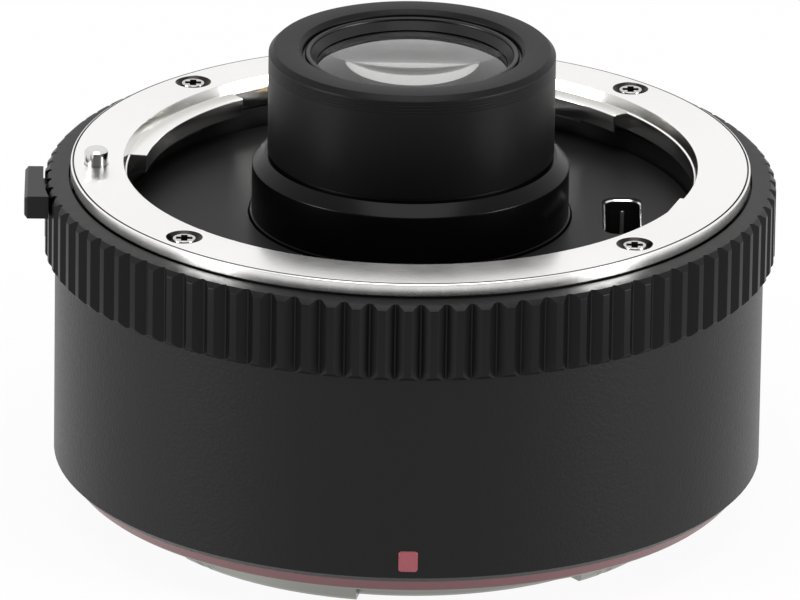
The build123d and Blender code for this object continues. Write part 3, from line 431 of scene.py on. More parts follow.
# Nose: the front lens tube, turned from aluminium and anodised matt black, with faint turned lines.
# It screws into the chassis, and the tool left four fine rings below its upper edge.
NOSE_RADIUS = 13.73
NOSE_TUBE_RADIUS = 13.3
NOSE_MOUTH = 10.5
NOSE_BORE = 9.65
NOSE_SEAT = 10.25
NOSE_LIP = 8.7
NOSE_LIP_THICK = 0.75
NOSE_FOOT = 10.33
NOSE_CHAMFER = 0.5
MOUTH_CHAMFER = 0.42
MOUTH_FLARE = 0.4
THREAD_TAIL = 0.5
RING_CUT_START = 0.85
RING_CUT_PITCH = 0.3
RING_CUT_COUNT = 4
RING_CUT_DEPTH = 0.03
RING_CUT_HALF = 0.04
NOSE_BLACK = "#070707"
nose_low, nose_high = (corner.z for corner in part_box("nose_barrel"))
nose_height = (nose_high - nose_low) / MM
seat_depth = (nose_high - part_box("front_spacer")[0].z) / MM
thread_depth = (nose_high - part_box("front_retaining_ring")[0].z) / MM + THREAD_TAIL
outline = [
    (NOSE_MOUTH, -thread_depth),
    (NOSE_MOUTH, -MOUTH_CHAMFER, 0.1),
    (NOSE_MOUTH + MOUTH_FLARE, 0, 0.1),
    (NOSE_RADIUS - NOSE_CHAMFER, 0, 0.15),
    (NOSE_RADIUS, -NOSE_CHAMFER, 0.15),
]
for tool_mark in range(RING_CUT_COUNT):
    depth = RING_CUT_START + tool_mark * RING_CUT_PITCH
    outline.append((NOSE_RADIUS, RING_CUT_HALF - depth))
    outline.append((NOSE_RADIUS - RING_CUT_DEPTH, -depth))
    outline.append((NOSE_RADIUS, -RING_CUT_HALF - depth))
outline += [
    (NOSE_RADIUS, -NOSE_FOOT, 0.1),
    (NOSE_TUBE_RADIUS, -NOSE_FOOT),
    (NOSE_TUBE_RADIUS, -nose_height),
    (NOSE_LIP, -nose_height),
    (NOSE_LIP, NOSE_LIP_THICK - nose_height),
    (NOSE_BORE, NOSE_LIP_THICK - nose_height),
    (NOSE_BORE, -seat_depth),
    (NOSE_SEAT, -seat_depth),
    (NOSE_SEAT, -thread_depth),
]
nose = turned("nose_tube", outline, nose_high)
# Matt anodising: a deep black tube with one soft highlight and faint level lines.
# The lines are drawn wider apart than real feed marks, so that they show.
nose_anodising = turned_black(
    "matt_nose_anodising", NOSE_BLACK, roughness=0.42, gloss=0.15, pitch=0.3, depth=0.002
)
seat(nose, "converter", "nose_black", nose_anodising, "nose_barrel")


# Front retaining ring: a threaded ring with a round lip, turned and anodised in a closer black.
# It is screwed down on the front glass, and its sloped bore runs down to the glass.
RETAINER_BORE = 9.15
RETAINER_OUTER = 10.45
RETAINER_STEP = 0.35
RETAINER_INSET = 0.2
LIP_REACH = 0.75
LIP_ROUND = 0.22
LIP_FALL = 0.3
RETAINER_BLACK = "#050505"
retainer_low, retainer_high = (corner.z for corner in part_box("front_retaining_ring"))
retainer_height = (retainer_high - retainer_low) / MM
retainer = turned(
    "front_glass_ring",
    [
        (RETAINER_BORE, 0),
        (RETAINER_OUTER, 0),
        (RETAINER_OUTER, retainer_height - RETAINER_STEP),
        (RETAINER_OUTER - RETAINER_INSET, retainer_height - RETAINER_STEP),
        (RETAINER_OUTER - RETAINER_INSET, retainer_height, LIP_ROUND),
        (RETAINER_OUTER - LIP_REACH, retainer_height, LIP_ROUND),
        (RETAINER_OUTER - LIP_REACH, retainer_height - LIP_FALL),
    ],
    retainer_low,
)
# Closer black: darker and a little glossier, so that the lip is one fine highlight.
retainer_anodising = turned_black(
    "close_black_anodising", RETAINER_BLACK, roughness=0.35, gloss=0.3, pitch=0.2, depth=0.001
)
seat(retainer, "converter", "nose_black", retainer_anodising, "front_retaining_ring")


# Nose collar: a turned sleeve round the foot of the nose, with a polished cone at its shoulder.
# Its thin flange lies in the floor plate, and its black is glossier than the nose's.
COLLAR_RADIUS = 15.2
COLLAR_FLANGE = 15.4
COLLAR_TOP_RADIUS = 14.0
COLLAR_BORE = 13.35
COLLAR_STEM = 5.84
COLLAR_CONE = 1.03
COLLAR_BLACK = "#050505"
collar_low, collar_high = (corner.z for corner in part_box("nose_collar"))
collar = turned(
    "nose_foot_collar",
    [
        (COLLAR_BORE, (collar_low - collar_high) / MM),
        (COLLAR_FLANGE, (collar_low - collar_high) / MM),
        (COLLAR_FLANGE, -COLLAR_STEM, 0.1),
        (COLLAR_RADIUS, -COLLAR_STEM),
        (COLLAR_RADIUS, -COLLAR_CONE, 0.2),
        (COLLAR_TOP_RADIUS, 0, 0.1),
        (COLLAR_BORE, 0),
    ],
    collar_high,
)
# Glossy black: the sleeve throws the light back as a sharp streak along its cone.
collar_anodising = turned_black(
    "glossy_black_anodising", COLLAR_BLACK, roughness=0.24, gloss=0.1, pitch=0.2, depth=0.001
)
seat(collar, "converter", "collar_black", collar_anodising, "nose_collar")


# Floor plate: a sheet-metal floor, blackened, whose slot has a bright cut edge.
# The pin of the lens's coupling lever runs in the slot, and a thin steel pin stops it there.
FLOOR_BLACK = "#151516"
CUT_EDGE = "#E6E6E4"
PLATE_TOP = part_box("front_baffle_plate")[1].z
EDGE_DEPTH = 0.31
EDGE_HEIGHT = 0.13
FLOOR_GRIT = 0.22
FLOOR_GRIT_DEPTH = 0.005
FLOOR_ROUGHNESS = 0.5
CUT_ROUGHNESS = 0.2
# Blackened sheet: a dull dark floor, and bare bright metal only along the slot's cut edge.
# Its grain is drawn coarser than the real one, so that it shows.
floor_finish, tree = new_finish("blackened_plate_with_cut_edge")
place = add_node(tree, "TexCoord").outputs["Object"]
height = add_node(tree, "SeparateXYZ", {}, {0: place}).outputs["Z"]
edge_low = PLATE_TOP - EDGE_DEPTH * MM
edge_high = edge_low + EDGE_HEIGHT * MM
above = add_node(tree, "Math", {"operation": "GREATER_THAN", 1: edge_low}, {0: height})
below = add_node(tree, "Math", {"operation": "LESS_THAN", 1: edge_high}, {0: height})
both = add_node(tree, "Math", {"operation": "MULTIPLY"}, {0: above.outputs[0], 1: below.outputs[0]})
bright = both.outputs[0]
grit = add_node(
    tree, "TexNoise", {"Scale": 1 / (FLOOR_GRIT * MM), "Detail": 3.0}, {"Vector": place}
).outputs["Fac"]
relief = add_node(tree, "Bump", {"Strength": 1.0, "Distance": FLOOR_GRIT_DEPTH * MM}, {"Height": grit})
colour = add_node(
    tree,
    "MixRGB",
    {"Color1": linear(FLOOR_BLACK), "Color2": linear(CUT_EDGE)},
    {"Fac": bright},
)
rough = add_node(tree, "MapRange", {"To Min": FLOOR_ROUGHNESS, "To Max": CUT_ROUGHNESS}, {"Value": bright})
shader = add_node(
    tree,
    "BsdfPrincipled",
    {"Specular IOR Level": 0.2},
    {
        "Base Color": colour.outputs[0],
        "Metallic": bright,
        "Roughness": rough.outputs[0],
        "Normal": relief.outputs[0],
    },
)
add_node(tree, "OutputMaterial", {}, {"Surface": shader.outputs[0]})
finish_nodes(floor_finish, "front_baffle_plate")

PIN_RADIUS = 0.19
PIN_STEEL = "#8C8C8A"
pin_low, pin_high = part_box("slot_pin")
pin_middle = (pin_low + pin_high) / 2
pin_height = (pin_high.z - pin_low.z) / MM
slot_pin = turned(
    "slot_stop_pin",
    [(0, 0), (PIN_RADIUS, 0), (PIN_RADIUS, pin_height, 0.12), (0, pin_height)],
    pin_low.z,
    closed=False,
)


def settle(piece, place=(0, 0, 0)):
    """Moves a piece to its place and applies it, so that its object sits at the origin."""
    bpy.ops.object.select_all(action="DESELECT")
    piece.select_set(True)
    bpy.context.view_layer.objects.active = piece
    piece.location = Vector(piece.location) + Vector(place)
    bpy.ops.object.transform_apply(location=True, rotation=True, scale=True)
    return piece


settle(slot_pin, (pin_middle.x, pin_middle.y, 0))
# Drawn steel: a pale upright strip in the dark slot.
pin_steel = grained(
    "drawn_pin_steel", PIN_STEEL, grain=0.15, depth=0.001, roughness=0.35, gloss=0.5, metal=0.6
)
seat(slot_pin, "converter", "pin_steel", pin_steel, "slot_pin")


# Contacts: eleven gold-plated plungers in a moulded block at the front, and eleven flat pads behind.
# Lens and camera talk through them, and both blocks are black polycarbonate.
CONTACT_GOLD = "#E0B465"
BLOCK_BLACK = "#121213"
# Gold plate: small warm glints in the dark mouth.
gold_plate = grained(
    "gold_plate_on_brass", CONTACT_GOLD, grain=0.1, depth=0.0005, roughness=0.22, gloss=0.5, metal=1.0
)
# Moulded polycarbonate: satin black with the fine texture of its mould.
block_moulding = grained(
    "moulded_black_polycarbonate", BLOCK_BLACK, grain=0.12, depth=0.003, roughness=0.5, gloss=0.4
)
finish_nodes(gold_plate, "contact_pins", "rear_contact_pads")
finish_nodes(block_moulding, "front_contact_block", "rear_contact_block")


# Circuit board: glass-epoxy board under a green solder mask, with moulded chips, on four screws.
# Two polyimide ribbons join it to the contact blocks.
BOARD_GREEN = "#1F5B3A"
CHIP_BLACK = "#1B1B1D"
RIBBON_AMBER = "#B4702A"
# Solder mask: glossy green, a little uneven where it flowed over the copper.
solder_mask = grained(
    "green_solder_mask", BOARD_GREEN, grain=0.4, depth=0.004, roughness=0.32, gloss=0.5
)
# Chip epoxy: dull charcoal with a fine moulded grain.
chip_moulding = grained(
    "moulded_chip_epoxy", CHIP_BLACK, grain=0.08, depth=0.003, roughness=0.55, gloss=0.4
)
# Polyimide film: glossy amber, nearly smooth.
polyimide = grained(
    "amber_polyimide_film", RIBBON_AMBER, grain=0.5, depth=0.002, roughness=0.28, gloss=0.5
)
finish_nodes(solder_mask, "circuit_board")
finish_nodes(chip_moulding, "board_components")
finish_nodes(polyimide, "front_flex", "rear_flex")


# Rear mount: a male bayonet turned from brass and plated in satin chrome, over a brass shim.
# Four countersunk screws hold it from behind, and the shim sets the flange distance.
MOUNT_CHROME = "#8B8C87"
SHIM_BRASS = "#C9A557"
SCREW_STEEL = "#C9C7C4"
SMEAR_SIZE = 5.0
SMEAR_SPREAD = 0.02


def lathed_metal(name, colour, roughness, stretch, pitch, depth):
    """A bright metal with fine rings about the axis, of a pitch and depth in mm, that stretch its gloss."""
    material, tree = new_finish(name)
    place = add_node(tree, "TexCoord").outputs["Object"]
    axes = add_node(tree, "SeparateXYZ", {}, {0: place})
    flat = add_node(tree, "CombineXYZ", {}, {"X": axes.outputs["X"], "Y": axes.outputs["Y"]})
    radius = add_node(tree, "VectorMath", {"operation": "LENGTH"}, {0: flat.outputs[0]}).outputs["Value"]
    rings = add_node(
        tree,
        "TexNoise",
        {"noise_dimensions": "1D", "Scale": 1 / (pitch * MM), "Detail": 3.0, "Roughness": 0.7},
        {"W": radius},
    ).outputs["Fac"]
    relief = add_node(tree, "Bump", {"Strength": 1.0, "Distance": depth * MM}, {"Height": rings})
    smear = add_node(
        tree, "TexNoise", {"Scale": 1 / (SMEAR_SIZE * MM), "Detail": 3.0}, {"Vector": place}
    ).outputs["Fac"]
    rough = add_node(
        tree,
        "MapRange",
        {
            "From Min": NOISE_LOW,
            "From Max": NOISE_HIGH,
            "To Min": roughness - SMEAR_SPREAD,
            "To Max": roughness + SMEAR_SPREAD,
        },
        {"Value": smear},
    )
    grain = add_node(tree, "Tangent", {"direction_type": "RADIAL", "axis": "Z"})
    shader = add_node(
        tree,
        "BsdfPrincipled",
        {
            "Base Color": linear(colour),
            "Metallic": 1.0,
            "Anisotropic": stretch,
            "Anisotropic Rotation": 0.25,
        },
        {"Normal": relief.outputs[0], "Roughness": rough.outputs[0], "Tangent": grain.outputs[0]},
    )
    add_node(tree, "OutputMaterial", {}, {"Surface": shader.outputs[0]})
    return material


# Satin chrome: a soft grey shine that stretches round the axis.
# Its rings are drawn wider apart than real feed marks, so that they show.
satin_chrome = lathed_metal(
    "satin_chrome_plate", MOUNT_CHROME, roughness=0.3, stretch=0.4, pitch=0.1, depth=0.0005
)
# Rolled brass: a thin warm line between the mount and the frame.
rolled_brass = lathed_metal(
    "rolled_brass_shim", SHIM_BRASS, roughness=0.3, stretch=0.2, pitch=0.2, depth=0.0005
)
# Nickel plate: bright heads with a slightly broken gloss.
screw_steel = grained(
    "nickel_plated_screw_steel",
    SCREW_STEEL,
    grain=0.1,
    depth=0.0004,
    roughness=0.2,
    gloss=0.5,
    metal=1.0,
)
finish_nodes(satin_chrome, "rear_mount")
finish_nodes(rolled_brass, "rear_mount_shim")
finish_nodes(screw_steel, "rear_mount_screws", "board_screws")


# Rear baffle: a moulded light mask with a rectangular window, pressed into the rear mount.
# It keeps stray light off the camera's sensor, so it is the deadest black of all.
BAFFLE_BLACK = "#0B0B0B"
# Light trap: so coarse and dull that it stays black from every side.
# Its grain is drawn coarser than the real one, so that it shows.
baffle_moulding = grained(
    "light_trap_moulding", BAFFLE_BLACK, grain=0.2, depth=0.01, roughness=0.7, gloss=0.2
)
finish_nodes(baffle_moulding, "rear_baffle")


# Main barrel: an aluminium tube, lightly blasted and finished in baked satin black enamel.
# It slides over the chassis, and its enamel shows a fine orange peel in the side light.
BARREL_BLACK = "#080808"
PEEL_SIZE = 0.36
PEEL_DEPTH = 0.035
# Baked enamel: satin black, whose peel scatters the side light into a fine grain.
# The peel is drawn deeper than the real one, so that it shows at this distance.
satin_enamel = grained(
    "baked_satin_enamel", BARREL_BLACK, grain=PEEL_SIZE, depth=PEEL_DEPTH, roughness=0.4, gloss=0.24
)
finish_nodes(satin_enamel, "main_barrel")


# Index mark: a small square of red enamel, filled proud into a milled pocket of the barrel.
# It lines up with the camera's own mark when the converter is fitted.
MARK_CORNER = 0.28
MARK_SOFT_EDGE = 0.12
MARK_RED = "#8A424B"
mark_low, mark_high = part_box("index_mark")
mark_middle = (mark_low + mark_high) / 2


def soften(piece, width, segments=2, angle=40):
    """Rounds a piece's sharp edges by a width in mm."""
    bevel = piece.modifiers.new("soften", "BEVEL")
    bevel.width = width * MM
    bevel.segments = segments
    bevel.limit_method = "ANGLE"
    bevel.angle_limit = radians(angle)
    bpy.context.view_layer.objects.active = piece
    bpy.ops.object.modifier_apply(modifier=bevel.name)
    bpy.ops.object.select_all(action="DESELECT")
    piece.select_set(True)
    bpy.ops.object.shade_smooth_by_angle(angle=radians(30))
    return piece


bpy.ops.object.select_all(action="DESELECT")
bpy.ops.mesh.primitive_cube_add(size=1, location=mark_middle, scale=mark_high - mark_low)
index_mark = bpy.context.object
index_mark.name = "index_square"
settle(index_mark)
bpy.ops.object.mode_set(mode="EDIT")
bpy.ops.mesh.select_mode(type="EDGE")
bpy.ops.mesh.select_all(action="DESELECT")
bpy.ops.object.mode_set(mode="OBJECT")
for edge in index_mark.data.edges:
    ends = [index_mark.data.vertices[end].co for end in edge.vertices]
    edge.select = abs(ends[0].y - ends[1].y) > 0.1 * MM
bpy.ops.object.mode_set(mode="EDIT")
bpy.ops.mesh.bevel(offset=MARK_CORNER * MM, segments=4)
bpy.ops.mesh.select_mode(type="VERT")
bpy.ops.object.mode_set(mode="OBJECT")
soften(index_mark, MARK_SOFT_EDGE, segments=3)
# Filled enamel: a muted red, smooth and glossier than the barrel.
mark_enamel = grained("filled_red_enamel", MARK_RED, grain=0.4, depth=0.003, roughness=0.25, gloss=0.5)
seat(index_mark, "converter", "index_red", mark_enamel, "index_mark")


# Trim ring: a thin tapered ring, turned from aluminium and anodised a muted red.
# It closes the joint between the barrel and the rear mount.
TRIM_RED = "#66393D"
# Red anodising: a muted red line with a thin satin shine.
red_anodising = grained(
    "muted_red_anodising", TRIM_RED, grain=0.2, depth=0.002, roughness=0.35, gloss=0.25
)
finish_nodes(red_anodising, "rear_trim_ring")


# Grip ring: a black anodised ring with ninety V grooves, which clamps over the barrel's sleeve.
# The blank is turned first, and the grooves are then milled down its side one by one.
TEETH = 90
GRIP_RADIUS = 35.05
GRIP_INNER = 33.25
GRIP_FLANGE = 32.65
GRIP_CHAMFER = 0.48
FLANGE_THICK = 0.75
GROOVE_DEPTH = 0.7
GROOVE_HALF = 0.9
GROOVE_FLAT = 0.07
CUTTER_RISE = 0.12
OVERCUT = 1.0
SHANK_WIDTH = 3.3
SHANK_SHIFT = 1.79
SHANK_REACH = 0.5
SHANK_ROOF = 0.45
GRIP_BLACK = "#0E0E0F"


def raised(name, points, bottom, top, crease=30):
    """Raises a closed outline in plan, in mm, from one height to another."""
    piece = draw(name, [Vector((x * MM, y * MM, bottom)) for x, y in rounded(points)])
    bpy.ops.mesh.edge_face_add()
    bpy.ops.mesh.extrude_region_move(TRANSFORM_OT_translate={"value": (0, 0, top - bottom)})
    return close_piece(piece, crease)


def cut(piece, tool, finish, crease=30):
    """Cuts a piece with a tool, which gives the cut its finish, and uses the tool up."""
    tool.data.materials.append(finish)
    knife = piece.modifiers.new("cut", "BOOLEAN")
    knife.operation = "DIFFERENCE"
    knife.solver = "EXACT"
    knife.material_mode = "TRANSFER"
    knife.object = tool
    bpy.context.view_layer.objects.active = piece
    bpy.ops.object.modifier_apply(modifier=knife.name)
    bpy.data.objects.remove(tool)
    bpy.ops.object.select_all(action="DESELECT")
    piece.select_set(True)
    bpy.ops.object.shade_smooth_by_angle(angle=radians(crease))
    return piece


grip_low, grip_high = (corner.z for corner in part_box("grip_ring"))
grip_height = (grip_high - grip_low) / MM
grip_ring = turned(
    "knurled_grip_ring",
    [
        (GRIP_INNER, -grip_height),
        (GRIP_RADIUS - GRIP_CHAMFER, -grip_height, 0.1),
        (GRIP_RADIUS, GRIP_CHAMFER - grip_height, 0.12),
        (GRIP_RADIUS, -GRIP_CHAMFER, 0.12),
        (GRIP_RADIUS - GRIP_CHAMFER, 0, 0.1),
        (GRIP_FLANGE, 0, 0.15),
        (GRIP_FLANGE, -FLANGE_THICK),
        (GRIP_INNER, -FLANGE_THICK),
    ],
    grip_high,
)
cutter_reach = GRIP_RADIUS + CUTTER_RISE
cutter_half = GROOVE_FLAT + (GROOVE_HALF - GROOVE_FLAT) * (GROOVE_DEPTH + CUTTER_RISE) / GROOVE_DEPTH
groove_cutter = raised(
    "groove_cutter",
    [
        (GRIP_RADIUS - GROOVE_DEPTH, -GROOVE_FLAT),
        (cutter_reach, -cutter_half),
        (cutter_reach, cutter_half),
        (GRIP_RADIUS - GROOVE_DEPTH, GROOVE_FLAT),
    ],
    grip_low - OVERCUT * MM,
    grip_high + OVERCUT * MM,
)
bpy.ops.object.mode_set(mode="EDIT")
bpy.ops.mesh.select_all(action="SELECT")
bpy.ops.mesh.spin(
    steps=TEETH - 1, dupli=True, angle=radians(360 - 360 / TEETH), center=(0, 0, 0), axis=(0, 0, 1)
)
bpy.ops.object.mode_set(mode="OBJECT")
# Matt anodising: black teeth, with light only on the flanks of the grooves.
# Its grain is drawn coarser than the real one, so that it shows.
grip_anodising = grained(
    "matt_grip_anodising", GRIP_BLACK, grain=0.16, depth=0.003, roughness=0.33, gloss=0.15
)
grip_ring.data.materials.append(grip_anodising)
cut(grip_ring, groove_cutter, grip_anodising, crease=20)
shank_cutter = raised(
    "shank_cutter",
    [
        (-GRIP_RADIUS - OVERCUT, -SHANK_WIDTH / 2 - SHANK_SHIFT),
        (-GRIP_FLANGE + SHANK_REACH, -SHANK_WIDTH / 2 - SHANK_SHIFT),
        (-GRIP_FLANGE + SHANK_REACH, SHANK_WIDTH / 2 - SHANK_SHIFT),
        (-GRIP_RADIUS - OVERCUT, SHANK_WIDTH / 2 - SHANK_SHIFT),
    ],
    grip_low - OVERCUT * MM,
    grip_high - SHANK_ROOF * MM,
)
cut(grip_ring, shank_cutter, grip_anodising, crease=20)
seat(grip_ring, "converter", "grip_black", grip_anodising, "grip_ring")


# Lock pin: a hardened, polished pin that a coil spring pushes up through the front ring.
# A lens turns until its notch meets the pin, and the button draws the pin down again.
PIN_POLISH = "#D8D8D6"
SPRING_STEEL = "#8F908E"
# Polished steel: it mirrors the ring and the room, with hardly any grain.
polished_pin = grained(
    "polished_pin_steel", PIN_POLISH, grain=0.2, depth=0.0003, roughness=0.12, gloss=0.5, metal=1.0
)
# Drawn spring steel: grey wire with a soft shine.
spring_wire = grained(
    "drawn_spring_steel", SPRING_STEEL, grain=0.15, depth=0.001, roughness=0.3, gloss=0.5, metal=1.0
)
finish_nodes(polished_pin, "lock_pin")

COIL_WIRE = 0.15
COIL_RADIUS = 1.1
COIL_TURNS = 5
COIL_STEPS = 24
WIRE_SIDES = 10
coil_low, coil_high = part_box("lock_pin_spring")
coil_middle = (coil_low + coil_high) / 2
coil_foot = Vector((coil_middle.x, coil_middle.y, coil_low.z + COIL_WIRE * MM))
coil_head = Vector((coil_middle.x, coil_middle.y, coil_high.z - COIL_WIRE * MM))
bpy.ops.object.select_all(action="DESELECT")
bpy.ops.mesh.primitive_circle_add(
    vertices=WIRE_SIDES,
    radius=COIL_WIRE * MM,
    location=(COIL_RADIUS * MM, 0, 0),
    rotation=(radians(90), 0, 0),
)
pin_coil = bpy.context.object
pin_coil.name = "pin_coil_spring"
settle(pin_coil)
winding = pin_coil.modifiers.new("winding", "SCREW")
winding.screw_offset = (coil_head.z - coil_foot.z) / COIL_TURNS
winding.iterations = COIL_TURNS
winding.steps = COIL_STEPS
winding.render_steps = COIL_STEPS
bpy.ops.object.modifier_apply(modifier=winding.name)
bpy.ops.object.mode_set(mode="EDIT")
bpy.ops.mesh.select_all(action="SELECT")
bpy.ops.mesh.fill_holes(sides=0)
close_piece(pin_coil, crease=50)
settle(pin_coil, coil_foot)
pin_coil.data.materials.append(spring_wire)
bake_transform(pin_coil)
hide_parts("lock_pin_spring")


# Release button: moulded nylon over a steel fork that takes the lock pin by its groove.
# Its top is level with the grip ring, and a thumb slides it towards the camera.
BUTTON_BLACK = "#141415"
# Moulded nylon: satin black, a touch greyer than the grip ring.
# Its grain is drawn coarser than the real one, so that it shows.
button_moulding = grained(
    "moulded_black_nylon", BUTTON_BLACK, grain=0.18, depth=0.004, roughness=0.36, gloss=0.2
)
finish_nodes(button_moulding, "release_button")


# Leaf springs: four tongues of blued spring steel, clamped between front ring and chassis.
# Each presses a lens's tab up against the back of its claw.
LEAF_STEEL = "#6E7074"
# Rolled spring steel: a blue-grey shine along each tongue.
leaf_steel = lathed_metal(
    "rolled_leaf_steel", LEAF_STEEL, roughness=0.3, stretch=0.3, pitch=0.2, depth=0.0006
)
finish_nodes(leaf_steel, "leaf_springs")


# Front mount ring: stainless steel, faced and polished on a lathe, with four claws in its throat.
# Four countersunk screws pull it down on the chassis, and the claws hold a lens by its tabs.
THROAT = 27.5
GAP_WALL = 27.15
RING_FLAT = 31.15
RING_OUTER = 32.55
RING_WALL = 1.35
SPIGOT_RADIUS = 28.2
SPIGOT_DEPTH = 2.9
LEDGE_WIDTH = 0.2
LAND_FALL = 0.12
LAND_END_FALL = 0.14
EDGE_FALL = 0.2
LINE_RADIUS = 32.22
LINE_WIDTH = 0.17
LINE_DEPTH = 0.35
LINE_SHADE = 0.2
LINE_PLAY = 0.02
CLAW_REACH = 25.55
CLAW_TOP = 1.05
CLAW_THICK = 1.8
CLAW_SWEEP = 42.5
CLAW_MIDDLE = 61.0
CLAW_COUNT = 4
CLAW_SOFT_EDGE = 0.09
SCREW_CIRCLE = 30.05
SCREW_ANGLE = 45.0
SCREW_COUNT = 4
SINK_RADIUS = 1.75
LOCK_CIRCLE = 30.1
LOCK_ANGLE = 183.4
LOCK_HOLE = 1.18
LOCK_HOLE_DEPTH = 6.0
DRILL_SIDES = 48
NUB_ANGLE = -18.6
NUB_SWEEP = 9.0
NUB_HEIGHT = 0.42
NUB_SINK = 0.05
NUB_SOFT_EDGE = 0.06
# The last claw is made only as long as it shows.
LAST_CLAW_SWEEP = 9.25
UP_FACING = 0.7
OUT_FACING = 0.3
RING_STEEL = "#F6F5F3"
# Painted shade: the bored walls' steel is a darker grey than the faced steel.
BORED_STEEL_SHADED = "#D6D5D2"
# Painted shade: the near-black steel for the walls of the countersinks, the pin's hole and the fine line.
PAINTED_SHADE_STEEL = "#2E2D2A"


def polar(radius, angle):
    """A point in plan, in the unit of its radius."""
    return Vector((radius * cos(radians(angle)), radius * sin(radians(angle))))


mount_ring = turned(
    "front_bayonet_ring",
    [
        (THROAT, 0, 0.08),
        (RING_FLAT, 0),
        (LINE_RADIUS, -LAND_FALL),
        (LINE_RADIUS, -LINE_DEPTH),
        (LINE_RADIUS + LINE_WIDTH, -LINE_DEPTH),
        (LINE_RADIUS + LINE_WIDTH, -LAND_END_FALL),
        (RING_OUTER, -EDGE_FALL, 0.13),
        (RING_OUTER, -RING_WALL, 0.08),
        (SPIGOT_RADIUS, -RING_WALL),
        (SPIGOT_RADIUS, -SPIGOT_DEPTH),
        (GAP_WALL, -SPIGOT_DEPTH, 0.1),
        (GAP_WALL, -CLAW_TOP - 0.1, 0.04),
        (THROAT - LEDGE_WIDTH, -CLAW_TOP, 0.03),
    ],
    ring_top,
)
# Faced steel: a white shine that stretches round the ring, in very fine rings.
# The rings are drawn wider apart than real feed marks, so that they show.
faced_steel = lathed_metal(
    "faced_stainless_steel", RING_STEEL, roughness=0.235, stretch=0.88, pitch=0.06, depth=0.0004
)
# Bored steel: even and glossier, so the throat's wall and the claws mirror the dark floor; its darker grey
# is painted shade.
bored_and_shaded_steel = lathed_metal(
    "bored_stainless_steel_painted_shade", BORED_STEEL_SHADED, roughness=0.17, stretch=0.0, pitch=0.06, depth=0.0003
)
# Drilled steel, painted dark as shade: the walls of the countersinks, of the pin's hole and of the fine
# line.
shade_painted_steel = grained(
    "drilled_steel_painted_shade", PAINTED_SHADE_STEEL, grain=0.1, depth=0.002, roughness=0.3, gloss=0.5, metal=1.0
)


def faced_and_bored(piece):
    """Gives a piece's inner walls the boring tool's gloss with a darker grey as painted shade, and the rest
    the facing tool's rings.
    """
    piece.data.materials.append(faced_steel)
    piece.data.materials.append(bored_and_shaded_steel)
    for face in piece.data.polygons:
        outward = face.normal.xy.dot(face.center.xy.normalized())
        face.material_index = int(face.normal.z < UP_FACING and outward < OUT_FACING)


faced_and_bored(mount_ring)
# The fine line near the ring's edge is a turned groove, whose walls below a set depth are painted dark as
# shade.
mount_ring.data.materials.append(shade_painted_steel)
painted_shade_slot = len(mount_ring.data.materials) - 1
for face in mount_ring.data.polygons:
    past_line = face.center.xy.length / MM - LINE_RADIUS
    in_line = -LINE_PLAY < past_line < LINE_WIDTH + LINE_PLAY
    if in_line and face.center.z < ring_top - LINE_SHADE * MM:
        face.material_index = painted_shade_slot
screw_angles = [SCREW_ANGLE + 360 / SCREW_COUNT * place for place in range(SCREW_COUNT)]
screw_places = [polar(SCREW_CIRCLE, angle) for angle in screw_angles]
# The countersinks and the pin's hole are cut with painted shade on their walls.
for place in screw_places:
    bpy.ops.object.select_all(action="DESELECT")
    bpy.ops.mesh.primitive_cone_add(
        vertices=DRILL_SIDES,
        radius1=0.0,
        radius2=2 * SINK_RADIUS * MM,
        depth=2 * SINK_RADIUS * MM,
        location=(place.x * MM, place.y * MM, ring_top),
    )
    cut(mount_ring, bpy.context.object, shade_painted_steel)
lock_place = polar(LOCK_CIRCLE, LOCK_ANGLE)
bpy.ops.object.select_all(action="DESELECT")
bpy.ops.mesh.primitive_cylinder_add(
    vertices=DRILL_SIDES,
    radius=LOCK_HOLE * MM,
    depth=LOCK_HOLE_DEPTH * MM,
    location=(lock_place.x * MM, lock_place.y * MM, ring_top),
)
cut(mount_ring, bpy.context.object, shade_painted_steel)
ring_pieces = [mount_ring]
for place in range(CLAW_COUNT):
    claw = turned(
        f"claw_{place + 1}",
        [
            (CLAW_REACH, -CLAW_TOP - CLAW_THICK, 0.15),
            (CLAW_REACH, -CLAW_TOP, 0.16),
            (GAP_WALL + LEDGE_WIDTH, -CLAW_TOP),
            (GAP_WALL + LEDGE_WIDTH, -CLAW_TOP - CLAW_THICK),
        ],
        ring_top,
        CLAW_MIDDLE + 360 / CLAW_COUNT * place - CLAW_SWEEP / 2,
        LAST_CLAW_SWEEP if place == CLAW_COUNT - 1 else CLAW_SWEEP,
    )
    soften(claw, CLAW_SOFT_EDGE)
    faced_and_bored(claw)
    ring_pieces.append(claw)
nub = raised(
    "stop_nub",
    [
        polar(THROAT + LEDGE_WIDTH, NUB_ANGLE),
        polar(THROAT - NUB_HEIGHT, NUB_ANGLE),
        polar(THROAT, NUB_ANGLE - NUB_SWEEP),
        polar(THROAT + LEDGE_WIDTH, NUB_ANGLE - NUB_SWEEP),
    ],
    ring_top - CLAW_TOP * MM,
    ring_top - NUB_SINK * MM,
)
soften(nub, NUB_SOFT_EDGE)
faced_and_bored(nub)
ring_pieces.append(nub)


def join(pieces):
    """Joins pieces into the first one."""
    bpy.ops.object.select_all(action="DESELECT")
    for piece in pieces:
        piece.select_set(True)
    bpy.context.view_layer.objects.active = pieces[0]
    bpy.ops.object.join()
    return pieces[0]


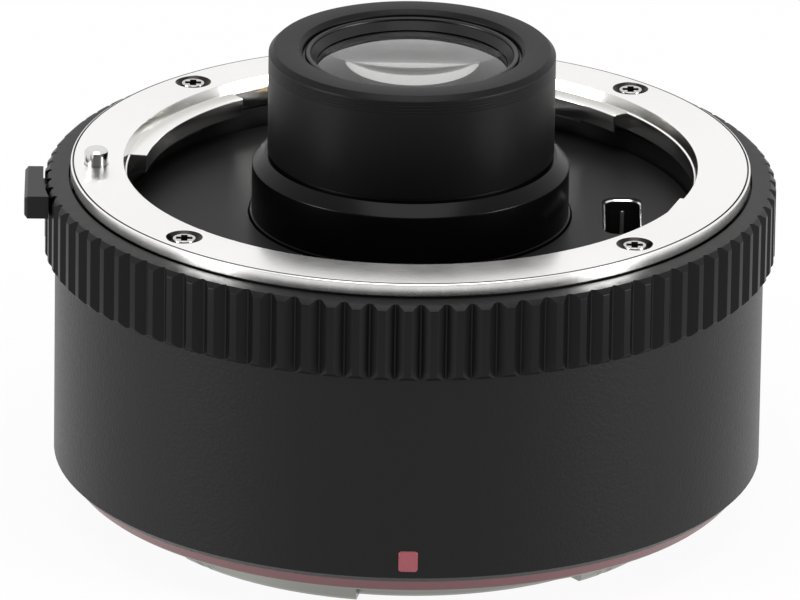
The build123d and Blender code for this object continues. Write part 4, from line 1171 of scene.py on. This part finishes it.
join(ring_pieces)
seat(mount_ring, "converter", "polished_metal", faced_steel, "front_mount_ring")


# Front mount screws: small countersunk screws of nickel-plated steel with a cross recess.
# The cold-formed recess is painted dark as shade, and the heads stand just below the ring's face.
SCREW_HEAD = 1.6
SCREW_FLAT = 1.08
HEAD_DEPTH = 0.42
HEAD_FLARE = 0.12
HEAD_INSET = 0.25
SCREW_SINK = 0.08
SHANK_RADIUS = 0.8
SCREW_LENGTH = 5.0
RECESS_REACH = 0.78
RECESS_WIDTH = 0.62
RECESS_DEPTH = 0.9
BLADE_RISE = 0.5
# Painted shade: the dark colour of the screws' cross recess.
RECESS_PAINTED_SHADE = "#2B2A29"
# Painted shade: the recess is a dark cross that keeps no highlight.
recess_shade_finish = grained(
    "painted_shade_recess", RECESS_PAINTED_SHADE, grain=0.1, depth=0.002, roughness=0.4, gloss=0.5, metal=0.5
)
screw = turned(
    "front_screw",
    [
        (0, 0),
        (SCREW_FLAT, 0, 0.06),
        (SCREW_FLAT + HEAD_FLARE, -HEAD_DEPTH, 0.06),
        (SCREW_HEAD - HEAD_INSET, -HEAD_DEPTH),
        (SHANK_RADIUS, -HEAD_DEPTH - (SCREW_HEAD - HEAD_INSET - SHANK_RADIUS)),
        (SHANK_RADIUS, -SCREW_LENGTH, 0.1),
        (0, -SCREW_LENGTH),
    ],
    0.0,
    closed=False,
)
screw.data.materials.append(screw_steel)
for turn in (0, 90):
    reach = RECESS_REACH if turn == 0 else RECESS_WIDTH / 2
    width = RECESS_WIDTH / 2 if turn == 0 else RECESS_REACH
    blade = raised(
        "recess_blade",
        [(-reach, -width), (reach, -width), (reach, width), (-reach, width)],
        -RECESS_DEPTH * MM,
        BLADE_RISE * MM,
    )
    cut(screw, blade, recess_shade_finish)
for number, place in enumerate(screw_places, 1):
    fitted = screw.copy()
    fitted.data = screw.data.copy()
    fitted.name = f"front_screw_{number}"
    bpy.context.scene.collection.objects.link(fitted)
    settle(fitted, (place.x * MM, place.y * MM, ring_top - SCREW_SINK * MM))
    seat(fitted, "converter", "screw_steel", screw_steel, "front_mount_screws")
bpy.data.objects.remove(screw)
